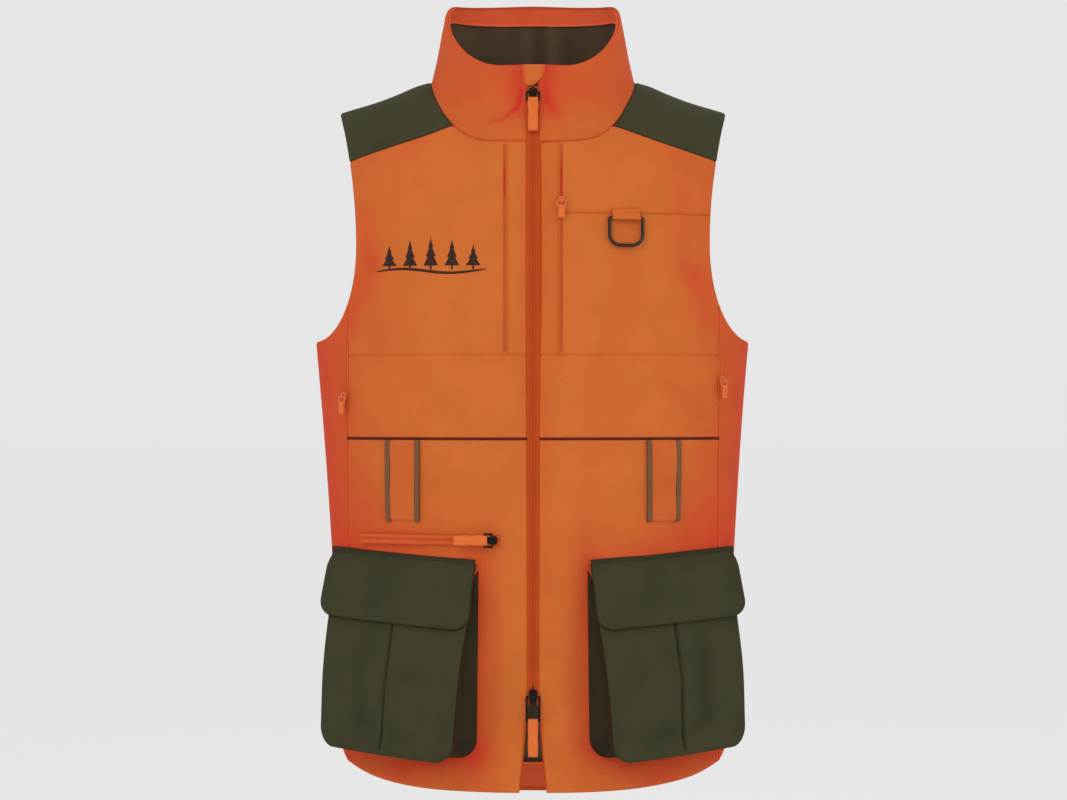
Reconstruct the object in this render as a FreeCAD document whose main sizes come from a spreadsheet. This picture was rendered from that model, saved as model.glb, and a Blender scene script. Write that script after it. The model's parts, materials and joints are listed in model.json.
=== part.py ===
import FreeCAD, Part
import math
import os
import Sketcher

"""Hunting vest, worn size L, as an assembly of sewn panels, zips, pockets and hardware.

The front faces -Y and the wearer's left is +X.  The origin is the middle of the neck
opening, level with the inner ends of the shoulders, and +Z is up.  Every cloth panel is a
thick patch of one torso surface, so that the panels meet along their seams.
"""

# ---------------------------------------------------------------- driving dimensions (mm, degrees)

DIMENSIONS = {
    # torso surface
    "hem_half_width": 197, "chest_half_width": 222, "shoulder_half_width": 212,
    "armpit_height": -266, "side_plane": 5, "front_hem_depth": -128, "front_rise": 20,
    "back_hem_depth": 118, "back_chest_depth": 125, "back_neck_ease": 43, "section_power": 2.3,
    "ridge_middle": 36, "ridge_slope": 0.344, "shoulder_round": 150, "neck_blend": 79.5,
    "chest_rise_length": 446, "neck_ease_height": -200, "neck_ease_length": 178,
    "pocket_plane": 147, "pocket_plane_ease": 16, "pocket_plane_angle": 29.7,
    "plane_blend_power": 18, "flattening_height": -420, "flattening_length": 100,
    "flattening_fade": 60, "flattening_fade_length": 60,
    # outlines
    "neck_half_width": 105, "front_neck_drop": 69, "back_neck_drop": 22, "front_seam": 187,
    "armhole_waist": 178, "armhole_waist_height": -170, "chest_seam": -281, "piping_height": -364,
    "front_hem": -713, "side_hem": -693, "back_hem": -743, "back_yoke_seam": -170,
    "hem_length": 720, "yoke_corner": 79.5, "yoke_edge_slope": 0.313, "yoke_corner_height": -51,
    "back_yoke_corner": 84, "back_yoke_slope": 0.7, "armhole_flare": 20,
    "armhole_flare_length": 138, "front_neck_power": 4.8, "back_neck_power": 4,
    "front_hem_rise": 21, "front_hem_power": 5, "back_hem_rise": 50, "back_hem_power": 4,
    "side_hem_arch": 18, "yoke_outer_height": -85,
    "placket_width": 20, "seam_gap": 0.5,
    # cloth thicknesses
    "shell_thickness": 2, "lining_thickness": 1.2, "layer_gap": 0.4, "lining_zip_inset": 8,
    "lining_side_inset": 4, "lining_hem_inset": 4, "lining_top_inset": 6, "facing_height": 27,
    # collar
    "collar_half_width": 88, "collar_depth": 80, "collar_lean": -28, "collar_front_top": 7.3,
    "collar_side_rise": 72, "collar_side_start": 20, "collar_side_turn": 100,
    "collar_back_rise": 7, "collar_back_start": 100, "collar_back_turn": 80,
    "collar_facing_share": 0.82, "collar_seam_share": 0.04,
    # main zip
    "zip_half_width": 6.2, "chain_half_width": 2.6, "chain_thickness": 1.2, "zip_bottom": -612,
    "zip_top": -18, "vent_spread": 7.3, "main_slider_height": -21, "lower_slider_height": -618,
    "vent_length": 101, "vent_start": 1, "vent_opening_share": 0.22,
    "tape_near": 0.2, "tape_far": 1, "tape_gap": 1.2, "chain_near": 1.1,
    "garage_width": 22, "garage_height": 21, "garage_near": 2.6, "garage_far": 4.6,
    # zip sliders and their pulls: main and waist, lower, and small
    "slider_clearance": 0.5,
    "main_slider_width": 9, "main_slider_length": 10, "main_slider_thickness": 1.9,
    "main_skirt": 1.3, "main_bridge_width": 2, "main_bridge_height": 4.2, "main_eye_radius": 1.5,
    "main_wire_radius": 1.1, "main_bracket_width": 12.6, "main_bracket_length": 7,
    "main_tab_width": 10, "main_tab_length": 31, "main_tab_thickness": 2.4,
    "lower_slider_width": 9, "lower_slider_length": 14, "lower_slider_thickness": 1.9,
    "lower_skirt": 1.3, "lower_bridge_width": 2, "lower_bridge_height": 4.2, "lower_eye_radius": 1.5,
    "lower_wire_radius": 1.1, "lower_bracket_width": 12.6, "lower_bracket_length": 24,
    "lower_tab_width": 10, "lower_tab_length": 35, "lower_tab_thickness": 2.4,
    "small_slider_width": 6.4, "small_slider_length": 9, "small_slider_thickness": 1.5,
    "small_skirt": 0.9, "small_bridge_width": 1.6, "small_bridge_height": 4,
    "small_eye_radius": 1.1, "small_wire_radius": 0.75, "small_bracket_width": 8,
    "small_bracket_length": 6.2, "small_tab_width": 6.4, "small_tab_length": 11,
    "small_tab_thickness": 1.8, "waist_tab_length": 31,
    # other zips
    "chest_zip_offset": 28, "chest_zip_slider_height": -128, "side_zip_top": -268,
    "side_zip_bottom": -332, "waist_zip_height": -464, "waist_zip_inner": 33,
    "waist_zip_outer": 171, "waist_zip_half_height": 5, "waist_zip_raise": 2.2,
    "waist_tape_thickness": 1, "waist_slider_share": 0.045,
    "side_slider_right": -322, "side_slider_left": -306, "chest_zip_top": -74,
    "chest_tape_half_width": 2.2, "side_tape_half_width": 3, "small_tape_thickness": 0.9,
    # D-ring and its tab
    "ring_middle": 91.6, "ring_bar_height": -145.5, "ring_wire_radius": 1.75, "ring_radius": 16.75,
    "ring_leg": 15.75, "ring_corner": 11, "ring_standoff": 5.2, "ring_tab_width": 28, "ring_tab_length": 9.5,
    "ring_tab_thickness": 1.4,
    # piping and webbing strips
    "trim_gap": 0.3, "piping_half_height": 1.2, "piping_thickness": 1.6, "strip_gap": 1, "strip_drop": 2,
    "strip_middle": 128.5, "strip_half_width": 12, "strip_length": 80, "strip_thickness": 2.4,
    "binding_width": 5, "binding_gap": 0.4, "binding_raise": 0.6,
    # bellows pockets
    "pocket_inner_x": 57, "pocket_inner_y": -125, "pocket_width": 163, "pocket_top": -504,
    "pocket_bottom": -676, "pocket_top_depth": 12, "pocket_bottom_depth": 45,
    "pocket_outer_depth": 30,
    "pocket_crown": 7, "pocket_slant": 3.3, "pocket_corner": 0.075, "pocket_cloth": 1.8,
    "gusset_fold": 5, "gusset_fold_depth": 40, "gusset_gap": 2.4, "gusset_reach": 0.965,
    "corner_power": 7, "flap_corner": 0.09, "flap_seam_drop": 4, "flap_seam_gap": 0.8,
    "flap_rise_length": 15, "flap_hinge": -480, "flap_length": 66, "flap_overhang": 5,
    "flap_standoff": 3.6, "flap_cloth": 2.4, "flap_axis_depth": 9.5,
}

doc = FreeCAD.newDocument("HuntingVest")
sheet = doc.addObject("Spreadsheet::Sheet", "Params")
for row, (alias, value) in enumerate(DIMENSIONS.items(), start=1):
    sheet.set(f"A{row}", alias)
    sheet.set(f"B{row}", str(value))
    sheet.setAlias(f"B{row}", alias)
doc.recompute()


def size(alias):
    """The value of a sheet cell, as a plain number."""
    return float(sheet.get(alias))


D = {alias: size(alias) for alias in DIMENSIONS}
RIGHT, LEFT = -1, 1
SIDES = {"right": RIGHT, "left": LEFT}
subparts = []

# ---------------------------------------------------------------- the torso surface


def smooth(value):
    """Smooth step from 0 to 1."""
    value = min(max(value, 0.0), 1.0)
    return value * value * (3 - 2 * value)


def half_width(z):
    """Half width of the vest at a height."""
    below = (z - D["front_hem"]) / (D["armpit_height"] - D["front_hem"])
    if z < D["armpit_height"]:
        return D["hem_half_width"] + (D["chest_half_width"] - D["hem_half_width"]) * max(below, 0) ** 1.6
    rise = smooth((z - D["armhole_waist_height"]) / -D["armhole_waist_height"])
    return D["chest_half_width"] + (D["shoulder_half_width"] - D["chest_half_width"]) * rise


def front_depth(z):
    """Y of the zip line: straight from hem to collar."""
    return D["front_hem_depth"] + D["front_rise"] * (z - D["front_hem"]) / D["hem_length"]


def back_depth(z):
    """Y of the middle of the back, which leans forward to the neck."""
    chest = D["back_chest_depth"] - D["back_hem_depth"]
    lower = D["back_hem_depth"] + chest * smooth((z - D["front_hem"]) / D["chest_rise_length"])
    above = max(z - D["neck_ease_height"], 0) / D["neck_ease_length"]
    return lower - D["back_neck_ease"] * above ** 2


def ridge(x):
    """Height of the shoulder ridge."""
    return D["ridge_middle"] - D["ridge_slope"] * abs(x)


def shoulder_ease(x, z):
    """Share of the full depth left under the shoulder ridge."""
    below = min(max((ridge(x) - z) / D["shoulder_round"], 0.0), 1.0)
    rounding = math.sqrt(1 - (1 - below) ** 2)
    return 1 - smooth(abs(x) / D["neck_blend"]) * (1 - rounding)


def radius(angle, z):
    """Plan radius about (0, side_plane) at an angle from the front, flattened at the pockets."""
    power = D["section_power"]
    front = math.cos(angle) >= 0
    depth = D["side_plane"] - front_depth(z) if front else back_depth(z) - D["side_plane"]
    full = (abs(math.sin(angle)) / half_width(z)) ** power + (abs(math.cos(angle)) / depth) ** power
    full = full ** (-1 / power)
    lean = math.cos(abs(angle) - math.radians(D["pocket_plane_angle"]))
    if not front or lean < 0.3:
        return full
    above = z - D["flattening_height"]
    ease = D["pocket_plane_ease"] * (1 - smooth(-above / D["flattening_length"]))
    fade = D["flattening_fade"] * smooth(above / D["flattening_fade_length"])
    plane = (D["pocket_plane"] + ease + fade) / lean
    blunt = D["plane_blend_power"]
    return (full ** -blunt + plane ** -blunt) ** (-1 / blunt)


def torso_point(angle, z):
    """Point of the torso surface at a plan angle (0 is the zip, +90 the left side)."""
    reach = radius(angle, z)
    x = reach * math.sin(angle)
    y = D["side_plane"] - shoulder_ease(x, z) * reach * math.cos(angle)
    return FreeCAD.Vector(x, y, z)


def shoulder_point(x, roll):
    """Point near the ridge: roll 0 to 90 degrees climbs the front, 90 to 180 goes down the back."""
    z = ridge(x) - D["shoulder_round"] * (1 - math.sin(roll))
    edge = (1 - min(abs(x) / half_width(z), 1) ** D["section_power"]) ** (1 / D["section_power"])
    depth = D["side_plane"] - front_depth(z) if math.cos(roll) >= 0 else back_depth(z) - D["side_plane"]
    return FreeCAD.Vector(x, D["side_plane"] - math.cos(roll) * depth * edge, z)


def offset_point(surface, first, second, distance):
    """Point of a surface moved along its outward normal."""
    step = 1e-3
    here = surface(first, second)
    along = surface(first + step, second) - surface(first - step, second)
    up = surface(first, second + step) - surface(first, second - step)
    normal = along.cross(up)
    normal.normalize()
    return here + normal * distance


def angle_at(x, z, back=False):
    """Plan angle at which the surface has this x, by halving."""
    low, high = 0.0, math.pi / 2
    for _ in range(46):
        middle = (low + high) / 2
        reached = radius(math.pi - middle if back else middle, z) * math.sin(middle)
        if reached < abs(x):
            low = middle
        else:
            high = middle
    angle = (low + high) / 2
    if back:
        angle = math.pi - angle
    return math.copysign(angle, x)


def skin(x, z, distance=0.0, back=False):
    """Point over the surface at this x and height."""
    return offset_point(torso_point, angle_at(x, z, back), z, distance)


# ---------------------------------------------------------------- outlines


def armhole_x(z):
    """Half distance between the armholes."""
    waist, height = D["armhole_waist"], D["armhole_waist_height"]
    if z > height:
        return waist + D["armhole_flare"] * ((z - height) / D["armhole_flare_length"]) ** 2
    drop = (height - z) / (height - D["armpit_height"])
    return waist + (D["chest_half_width"] - waist) * (1 - math.sqrt(max(1 - drop * drop, 0)))


def armhole_z(x):
    """Height of the underarm curve at this x."""
    waist, height = D["armhole_waist"], D["armhole_waist_height"]
    across = 1 - (x - waist) / (D["chest_half_width"] - waist)
    return height - (height - D["armpit_height"]) * math.sqrt(max(1 - across * across, 0))


def front_neck_z(x):
    """Height of the front collar seam."""
    across = min(abs(x) / D["neck_half_width"], 1)
    return -D["front_neck_drop"] * (1 - across ** D["front_neck_power"])


def back_neck_z(x):
    """Height of the back collar seam."""
    across = min(abs(x) / D["neck_half_width"], 1)
    return -D["back_neck_drop"] * (1 - across ** D["back_neck_power"])


def front_top_z(x):
    """Top of the chest panel: the collar seam, then the yoke seam."""
    if abs(x) < D["yoke_corner"]:
        return front_neck_z(x)
    return D["yoke_corner_height"] - D["yoke_edge_slope"] * (abs(x) - D["yoke_corner"])


def front_hem_z(x):
    """Height of the front hem, which rises to the side seams."""
    return D["front_hem"] + D["front_hem_rise"] * (abs(x) / D["front_seam"]) ** D["front_hem_power"]


def back_hem_z(x):
    """Height of the dropped back hem."""
    return D["back_hem"] + D["back_hem_rise"] * (abs(x) / D["front_seam"]) ** D["back_hem_power"]


def front_edge_x(z):
    """Front edge of the panels beside the zip, spreading below the lower slider."""
    below = max(D["zip_bottom"] - z, 0) / D["vent_length"]
    return D["zip_half_width"] + D["seam_gap"] + D["vent_spread"] * below


def vent_x(z):
    """Half gap between the zip tapes: closed above the lower slider, a vent below it."""
    opened = smooth((D["zip_bottom"] - z) / D["vent_length"] / D["vent_opening_share"])
    reach = front_edge_x(z) - 2 * D["tape_gap"] - D["seam_gap"] - D["vent_start"]
    return D["vent_start"] + reach * opened


def seam_roll(x, z):
    """Roll angle on the shoulder at this x and height."""
    return math.asin(min(max(1 - (ridge(x) - z) / D["shoulder_round"], -1), 1))


# ---------------------------------------------------------------- patches of cloth


def blend(first, second, share):
    """Tuple part of the way from one tuple to another."""
    return tuple(a + (b - a) * share for a, b in zip(first, second))


def coons(bottom, top, inner, outer):
    """Fill four edge curves of a parameter plane; u goes inner to outer, v goes up."""
    corners = bottom(0), bottom(1), top(0), top(1)

    def inside(u, v):
        across = blend(inner(v), outer(v), u)
        upward = blend(bottom(u), top(u), v)
        flat = blend(blend(corners[0], corners[1], u), blend(corners[2], corners[3], u), v)
        return tuple(a + b - c for a, b, c in zip(across, upward, flat))
    return inside


def patch_solid(point, across, upward, near, far):
    """Closed solid between two offsets of a surface patch; point(u, v, distance)."""
    sheets = []
    for distance in (near, far):
        grid = [[point(i / across, j / upward, distance) for j in range(upward + 1)]
                for i in range(across + 1)]
        surface = Part.BSplineSurface()
        surface.interpolate(grid)
        sheets.append(surface)
    faces = [surface.toShape() for surface in sheets]
    for pick in range(4):
        rims = []
        for surface in sheets:
            low_u, high_u, low_v, high_v = surface.bounds()
            if pick < 2:
                rims.append(surface.uIso((low_u, high_u)[pick]))
            else:
                rims.append(surface.vIso((low_v, high_v)[pick - 2]))
        faces.append(Part.makeRuledSurface(rims[0].toShape(), rims[1].toShape()))
    shell = Part.makeShell(faces)
    shell.sewShape(1e-3)
    if shell.ShapeType != "Shell":
        shell = shell.Shells[0]
    solid = Part.makeSolid(shell)
    if solid.Volume < 0:
        solid.reverse()
    return solid


def add_shape(label, shapes):
    """One sub-part made of one solid, or of identical separate solids."""
    piece = doc.addObject("Part::Feature", label)
    piece.Label = label
    piece.Shape = shapes[0] if len(shapes) == 1 else Part.makeCompound(shapes)
    piece.Placement = FreeCAD.Placement()
    subparts.append(piece)
    return piece


def torso_patch(field, across, upward, near, far):
    """Patch whose field gives (plan angle, height)."""
    return patch_solid(lambda u, v, distance: offset_point(torso_point, *field(u, v), distance),
                       across, upward, near, far)


def front_field(side, inner_x, outer_x, bottom_z, top_z):
    """Field of a front panel: x limits are functions of z, z limits functions of x."""
    def edge(x_at, z):
        return side * angle_at(x_at(z), z), z

    def rail(z_at, start, end, u):
        x = start + (end - start) * u
        return side * angle_at(x, z_at(x)), z_at(x)

    def corner(x_at, z_at):
        x = x_at(D["piping_height"])
        for _ in range(12):
            x = x_at(z_at(x))
        return x, z_at(x)

    low_in, low_out = corner(inner_x, bottom_z), corner(outer_x, bottom_z)
    top_in, top_out = corner(inner_x, top_z), corner(outer_x, top_z)
    return coons(lambda u: rail(bottom_z, low_in[0], low_out[0], u),
                 lambda u: rail(top_z, top_in[0], top_out[0], u),
                 lambda v: edge(inner_x, low_in[1] + (top_in[1] - low_in[1]) * v),
                 lambda v: edge(outer_x, low_out[1] + (top_out[1] - low_out[1]) * v))


def side_seam_x(z):
    """Outer edge of the front panels: the side seam, then the armhole."""
    return armhole_x(z) if z > armhole_z(D["front_seam"]) else D["front_seam"]


def band(side, inner_x, outer_x, bottom_z, top_z, near, far, across=10, upward=10):
    """Front patch between constants or functions."""
    def as_function(value):
        return value if callable(value) else (lambda _: value)
    limits = [as_function(value) for value in (inner_x, outer_x, bottom_z, top_z)]
    return torso_patch(front_field(side, *limits), across, upward, near, far)


def make_front(name, side):
    """Chest panel, placket, waist band and lower front of one side."""
    gap, thick = D["seam_gap"], D["shell_thickness"]
    seam, placket = D["front_seam"] - gap, front_edge_x(0) + D["placket_width"]
    add_shape(f"chest_panel_{name}", [band(
        side, placket + gap, lambda z: side_seam_x(z) - gap, D["chest_seam"] + gap,
        lambda x: front_top_z(x) - 2 * gap, 0, thick, 40, 28)])
    add_shape(f"placket_{name}", [band(
        side, front_edge_x(0), placket, D["chest_seam"] + gap,
        lambda x: front_neck_z(x) - 2 * gap, 0, thick, 4, 12)])
    add_shape(f"waist_band_{name}", [band(
        side, front_edge_x(0), seam, D["piping_height"] + gap, D["chest_seam"] - gap, 0, thick, 16, 6)])
    add_shape(f"lower_front_{name}", [band(
        side, front_edge_x, seam, front_hem_z, D["piping_height"] - gap, 0, thick, 24, 28)])


def make_side(name, side):
    """Side panel between the front and back seams, with the underarm curve on top."""
    gap = D["seam_gap"]

    def underarm(u):
        across = 2 * u - 1
        x = D["chest_half_width"] - (D["chest_half_width"] - D["front_seam"] - gap) * across ** 2
        z = armhole_z(x) - gap
        return side * abs(angle_at(x, z, back=across > 0)), z

    def seam(v, back):
        top = underarm(1 if back else 0)[1]
        z = D["side_hem"] + (top - D["side_hem"]) * v
        return side * abs(angle_at(D["front_seam"] + gap, z, back)), z

    def hem(u):
        angle, z = blend(seam(0, False), seam(0, True), u)
        return angle, z + D["side_hem_arch"] * math.sin(math.pi * u)

    field = coons(hem, underarm, lambda v: seam(v, False), lambda v: seam(v, True))
    add_shape(f"side_panel_{name}", [torso_patch(field, 20, 24, 0, D["shell_thickness"])])


def back_field(bottom_z, top_z, edge_x):
    """Field across the whole back, from the right edge to the left edge."""
    def at(x, z):
        return math.pi + math.copysign(math.pi - abs(angle_at(x, z, True)), -x), z

    def rail(z_at, u):
        edge = edge_x(z_at(D["front_seam"]))
        x = edge * (1 - 2 * u)
        return at(x if x else 1e-9, z_at(x))

    def side_edge(v, side):
        low, high = bottom_z(D["front_seam"]), top_z(D["front_seam"])
        z = low + (high - low) * v
        return at(side * edge_x(z), z)
    return coons(lambda u: rail(bottom_z, u), lambda u: rail(top_z, u),
                 lambda v: side_edge(v, 1), lambda v: side_edge(v, -1))


def back_top_z(x):
    """Top of the back: collar seam in the middle, yoke seam outside it."""
    corner = D["back_yoke_corner"]
    if abs(x) < corner:
        return back_neck_z(x)
    return back_neck_z(corner) - (abs(x) - corner) * D["back_yoke_slope"]


def make_back():
    """Back panel and the yoke above it."""
    gap, thick = D["seam_gap"], D["shell_thickness"]
    middle = D["back_yoke_seam"]
    lower = back_field(back_hem_z, lambda x: middle - gap, lambda z: side_seam_x(z) - gap)
    add_shape("back_panel", [torso_patch(lower, 44, 34, 0, thick)])
    upper = back_field(lambda x: middle + gap, lambda x: back_top_z(x) - 2 * gap,
                       lambda z: side_seam_x(z) - gap)
    add_shape("back_yoke", [torso_patch(upper, 48, 12, 0, thick)])


def make_shoulder(name, side):
    """Olive yoke over one shoulder, from the front seam over the ridge to the back seam."""
    inner_front, inner_back = D["yoke_corner"], D["back_yoke_corner"]
    outer_front = armhole_x(D["yoke_outer_height"])
    outer_back_z = back_top_z(outer_front)

    def front_edge(u):
        x = inner_front + (outer_front - inner_front) * u
        return x, seam_roll(x, front_top_z(x) + D["seam_gap"])

    def back_edge(u):
        x = inner_back + (armhole_x(outer_back_z) - inner_back) * u
        return x, math.pi - seam_roll(x, back_top_z(x) + D["seam_gap"])

    def neck_edge(v):
        start = math.asin(inner_front / D["neck_half_width"])
        end = math.pi - math.asin(inner_back / D["neck_half_width"])
        turn = start + (end - start) * v
        x = D["neck_half_width"] * math.sin(turn)
        front = math.cos(turn) >= 0
        roll = seam_roll(x, front_neck_z(x) if front else back_neck_z(x))
        return x + D["seam_gap"], roll if front else math.pi - roll

    def armhole_edge(v):
        start, end = front_edge(1)[1], back_edge(1)[1]
        roll = start + (end - start) * v
        z = D["yoke_corner_height"]
        for _ in range(30):
            z = ridge(armhole_x(z)) - D["shoulder_round"] * (1 - math.sin(roll))
        return armhole_x(z), roll

    field = coons(front_edge, back_edge, neck_edge, armhole_edge)

    def point(u, v, distance):
        x, roll = field(u, v)
        here = offset_point(shoulder_point, x, roll, distance)
        return FreeCAD.Vector(side * here.x, here.y, here.z)
    add_shape(f"shoulder_yoke_{name}", [patch_solid(point, 14, 20, 0, D["shell_thickness"])])


# ---------------------------------------------------------------- collar


def collar_point(turn, height):
    """Collar surface: turn is the angle about the neck from the zip, height 0 to 1."""
    x = D["neck_half_width"] * math.sin(turn)
    front = math.cos(turn) >= 0
    z = front_neck_z(x) if front else back_neck_z(x)
    roll = seam_roll(x, z)
    if abs(x) > D["neck_blend"]:
        base = shoulder_point(x, roll if front else math.pi - roll)
    else:
        base = torso_point(angle_at(x if x else 1e-9, z, not front), z)
    from_zip = math.degrees(abs(math.atan2(math.sin(turn), math.cos(turn))))
    rise = D["collar_side_rise"] * smooth((from_zip - D["collar_side_start"]) / D["collar_side_turn"])
    rise += D["collar_back_rise"] * smooth((from_zip - D["collar_back_start"]) / D["collar_back_turn"])
    top = FreeCAD.Vector(D["collar_half_width"] * math.sin(turn),
                         D["collar_lean"] - D["collar_depth"] * math.cos(turn),
                         D["collar_front_top"] + rise)
    return base + (top - base) * height


def collar_patch(low, high, near, far):
    """Loop of collar cloth, open at the zip."""
    opening = math.asin(front_edge_x(0) / D["neck_half_width"])

    def point(u, v, distance):
        turn = opening + (2 * math.pi - 2 * opening) * u
        return offset_point(collar_point, turn, low + (high - low) * v, distance)
    return patch_solid(point, 56, 6, near, far)


def make_collar():
    """Collar shell, its facing along the top and its lining."""
    inner = -D["layer_gap"]
    share = D["collar_facing_share"]
    low = D["collar_seam_share"]
    near = inner - D["lining_thickness"]
    add_shape("collar_outer", [collar_patch(low, 1, 0, D["shell_thickness"])])
    add_shape("collar_facing", [collar_patch(share + 0.01, 1, near, inner)])
    add_shape("collar_lining", [collar_patch(low + 0.01, share, near, inner)])


# ---------------------------------------------------------------- linings and facings


def make_linings():
    """Linings inside the fronts and the back, and the orange facing of the back hem."""
    inner = -D["layer_gap"]
    near = inner - D["lining_thickness"]

    def edge(z):
        return side_seam_x(z) - D["lining_side_inset"]
    for name, side in SIDES.items():
        add_shape(f"front_lining_{name}", [band(
            side, lambda z: front_edge_x(z) + D["lining_zip_inset"], edge,
            lambda x: front_hem_z(x) + D["lining_hem_inset"],
            lambda x: front_top_z(x) - D["lining_top_inset"], near, inner, 28, 30)])
    facing_top = D["facing_height"]
    gap = D["seam_gap"]
    lining = back_field(lambda x: back_hem_z(x) + facing_top + 2 * gap,
                        lambda x: back_top_z(x) - D["lining_top_inset"], edge)
    add_shape("back_lining", [torso_patch(lining, 44, 34, near, inner)])
    facing = back_field(lambda x: back_hem_z(x) + gap, lambda x: back_hem_z(x) + facing_top, edge)
    add_shape("back_hem_facing", [torso_patch(facing, 44, 4, near, inner)])


# ---------------------------------------------------------------- main zip


def zip_patch(side, inner_x, outer_x, bottom, top, near, far, upward=24):
    """Strip beside the zip line: x limits are functions of z."""
    def point(u, v, distance):
        z = bottom + (top - bottom) * v
        x = side * (inner_x(z) + (outer_x(z) - inner_x(z)) * u)
        return FreeCAD.Vector(x, front_depth(z) - distance, z)
    return patch_solid(point, 3, upward, near, far)


def make_main_zip():
    """Two tapes, the closed chain between them and the garage over its top end."""
    half_chain, half_garage = D["chain_half_width"], D["garage_width"] / 2
    for name, side in SIDES.items():
        add_shape(f"zip_tape_{name}", [zip_patch(
            side, vent_x, lambda z: front_edge_x(z) - D["seam_gap"] - D["tape_gap"],
            D["front_hem"] + 8, D["zip_top"] + 4, D["tape_near"], D["tape_far"])])
    add_shape("zip_chain", [zip_patch(
        1, lambda z: -half_chain, lambda z: half_chain, D["zip_bottom"] + 4, D["zip_top"],
        D["chain_near"], D["chain_near"] + D["chain_thickness"])])
    add_shape("zip_garage", [zip_patch(
        1, lambda z: -half_garage, lambda z: half_garage, D["collar_front_top"] - D["garage_height"],
        D["collar_front_top"], D["garage_near"], D["garage_far"], 6)])


# ---------------------------------------------------------------- trim on the front


def make_trim():
    """Piping, webbing strips with their bindings, and the tapes of the chest and side zips."""
    over = D["shell_thickness"] + D["trim_gap"]
    strip_near = D["shell_thickness"] + D["strip_gap"]
    strip_far = strip_near + D["strip_thickness"]
    tape_far = over + D["small_tape_thickness"]
    half, strip_top = D["piping_half_height"], D["piping_height"] - D["strip_drop"]
    low = strip_top - D["strip_length"]
    inner = D["strip_middle"] - D["strip_half_width"]
    outer = D["strip_middle"] + D["strip_half_width"]
    binding_starts = inner - D["binding_width"] - D["binding_gap"], outer + D["binding_gap"]
    chest, chest_half = D["chest_zip_offset"], D["chest_tape_half_width"]
    seam, seam_half = D["front_seam"], D["side_tape_half_width"]
    piping, chest_tapes, side_tapes = [], [], []
    for name, side in SIDES.items():
        piping.append(band(side, front_edge_x(0), seam - 1, D["piping_height"] - half,
                           D["piping_height"] + half, over, over + D["piping_thickness"], 16, 2))
        add_shape(f"webbing_strip_{name}", [band(
            side, inner, outer, low, strip_top, strip_near, strip_far, 4, 6)])
        add_shape(f"strip_bindings_{name}", [
            band(side, start, start + D["binding_width"], low, strip_top, strip_near,
                 strip_far + D["binding_raise"], 3, 6) for start in binding_starts])
        chest_tapes.append(band(side, chest - chest_half, chest + chest_half, D["chest_seam"] + 4,
                                D["chest_zip_top"], over, tape_far, 3, 12))
        side_tapes.append(band(side, seam - seam_half, seam + seam_half, D["side_zip_bottom"],
                               D["side_zip_top"], over, tape_far, 3, 6))
    add_shape("piping", piping)
    add_shape("chest_zip_tapes", chest_tapes)
    add_shape("side_zip_tapes", side_tapes)


def waist_arc():
    """Centre and radius of the vertical cylinder that the waist pocket zip follows."""
    points = [skin(-D[name], D["waist_zip_height"]) for name in ("waist_zip_inner", "waist_zip_outer")]
    middle_x = -(D["waist_zip_inner"] + D["waist_zip_outer"]) / 2
    points.insert(1, skin(middle_x, D["waist_zip_height"]))
    (ax, ay), (bx, by), (cx, cy) = [(point.x, point.y) for point in points]
    base = 2 * (ax * (by - cy) + bx * (cy - ay) + cx * (ay - by))
    squares = [ax * ax + ay * ay, bx * bx + by * by, cx * cx + cy * cy]
    centre_x = (squares[0] * (by - cy) + squares[1] * (cy - ay) + squares[2] * (ay - by)) / base
    centre_y = (squares[0] * (cx - bx) + squares[1] * (ax - cx) + squares[2] * (bx - ax)) / base
    return centre_x, centre_y, math.hypot(ax - centre_x, ay - centre_y)


def waist_point(share, z, distance):
    """Point on that cylinder: share 0 at the inner end of the zip, 1 at the outer end."""
    centre_x, centre_y, arc_radius = waist_arc()
    ends = [skin(-D[name], D["waist_zip_height"]) for name in ("waist_zip_inner", "waist_zip_outer")]
    start, end = [math.atan2(end.x - centre_x, centre_y - end.y) for end in ends]
    turn = start + (end - start) * share
    reach = arc_radius + distance
    return FreeCAD.Vector(centre_x + reach * math.sin(turn), centre_y - reach * math.cos(turn), z)


def make_waist_zip():
    """Horizontal zip of the right waist pocket: its welt lies on one vertical cylinder."""
    z, half = D["waist_zip_height"], D["waist_zip_half_height"]
    raised = D["shell_thickness"] + D["waist_zip_raise"]

    def strip(low, high, near, far):
        return patch_solid(lambda u, v, distance: waist_point(u, low + (high - low) * v, distance),
                           16, 2, near, far)
    top = raised + D["waist_tape_thickness"]
    add_shape("waist_zip_tape", [strip(z - half, z + half, raised, top)])
    placement = waist_frame(D["waist_slider_share"], z, top + D["slider_clearance"] + D["main_skirt"])
    slider_and_pull("waist_zip", "main", placement, "Params.waist_tab_length")
    centre_x, centre_y, arc_radius = waist_arc()
    print(f"waist zip arc: centre {centre_x:.3f}, {centre_y:.3f} radius {arc_radius:.2f}")


def waist_frame(share, z, standoff):
    """Placement on the waist zip: local y points to its inner end, local z outward."""
    origin = waist_point(share, z, standoff)
    inward = waist_point(share - 0.01, z, standoff) - waist_point(share + 0.01, z, standoff)
    inward.normalize()
    out = waist_point(share, z, standoff + 1) - origin
    across = inward.cross(out)
    return FreeCAD.Placement(origin, FreeCAD.Rotation(across, inward, out, "ZXY"))


# ---------------------------------------------------------------- bellows pockets

PLANE_TURN = math.radians(D["pocket_plane_angle"])
ALONG = FreeCAD.Vector(math.cos(PLANE_TURN), math.sin(PLANE_TURN), 0)
OUTWARD = FreeCAD.Vector(math.sin(PLANE_TURN), -math.cos(PLANE_TURN), 0)
POCKET_CORNER = FreeCAD.Vector(D["pocket_inner_x"], D["pocket_inner_y"], 0)


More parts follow.
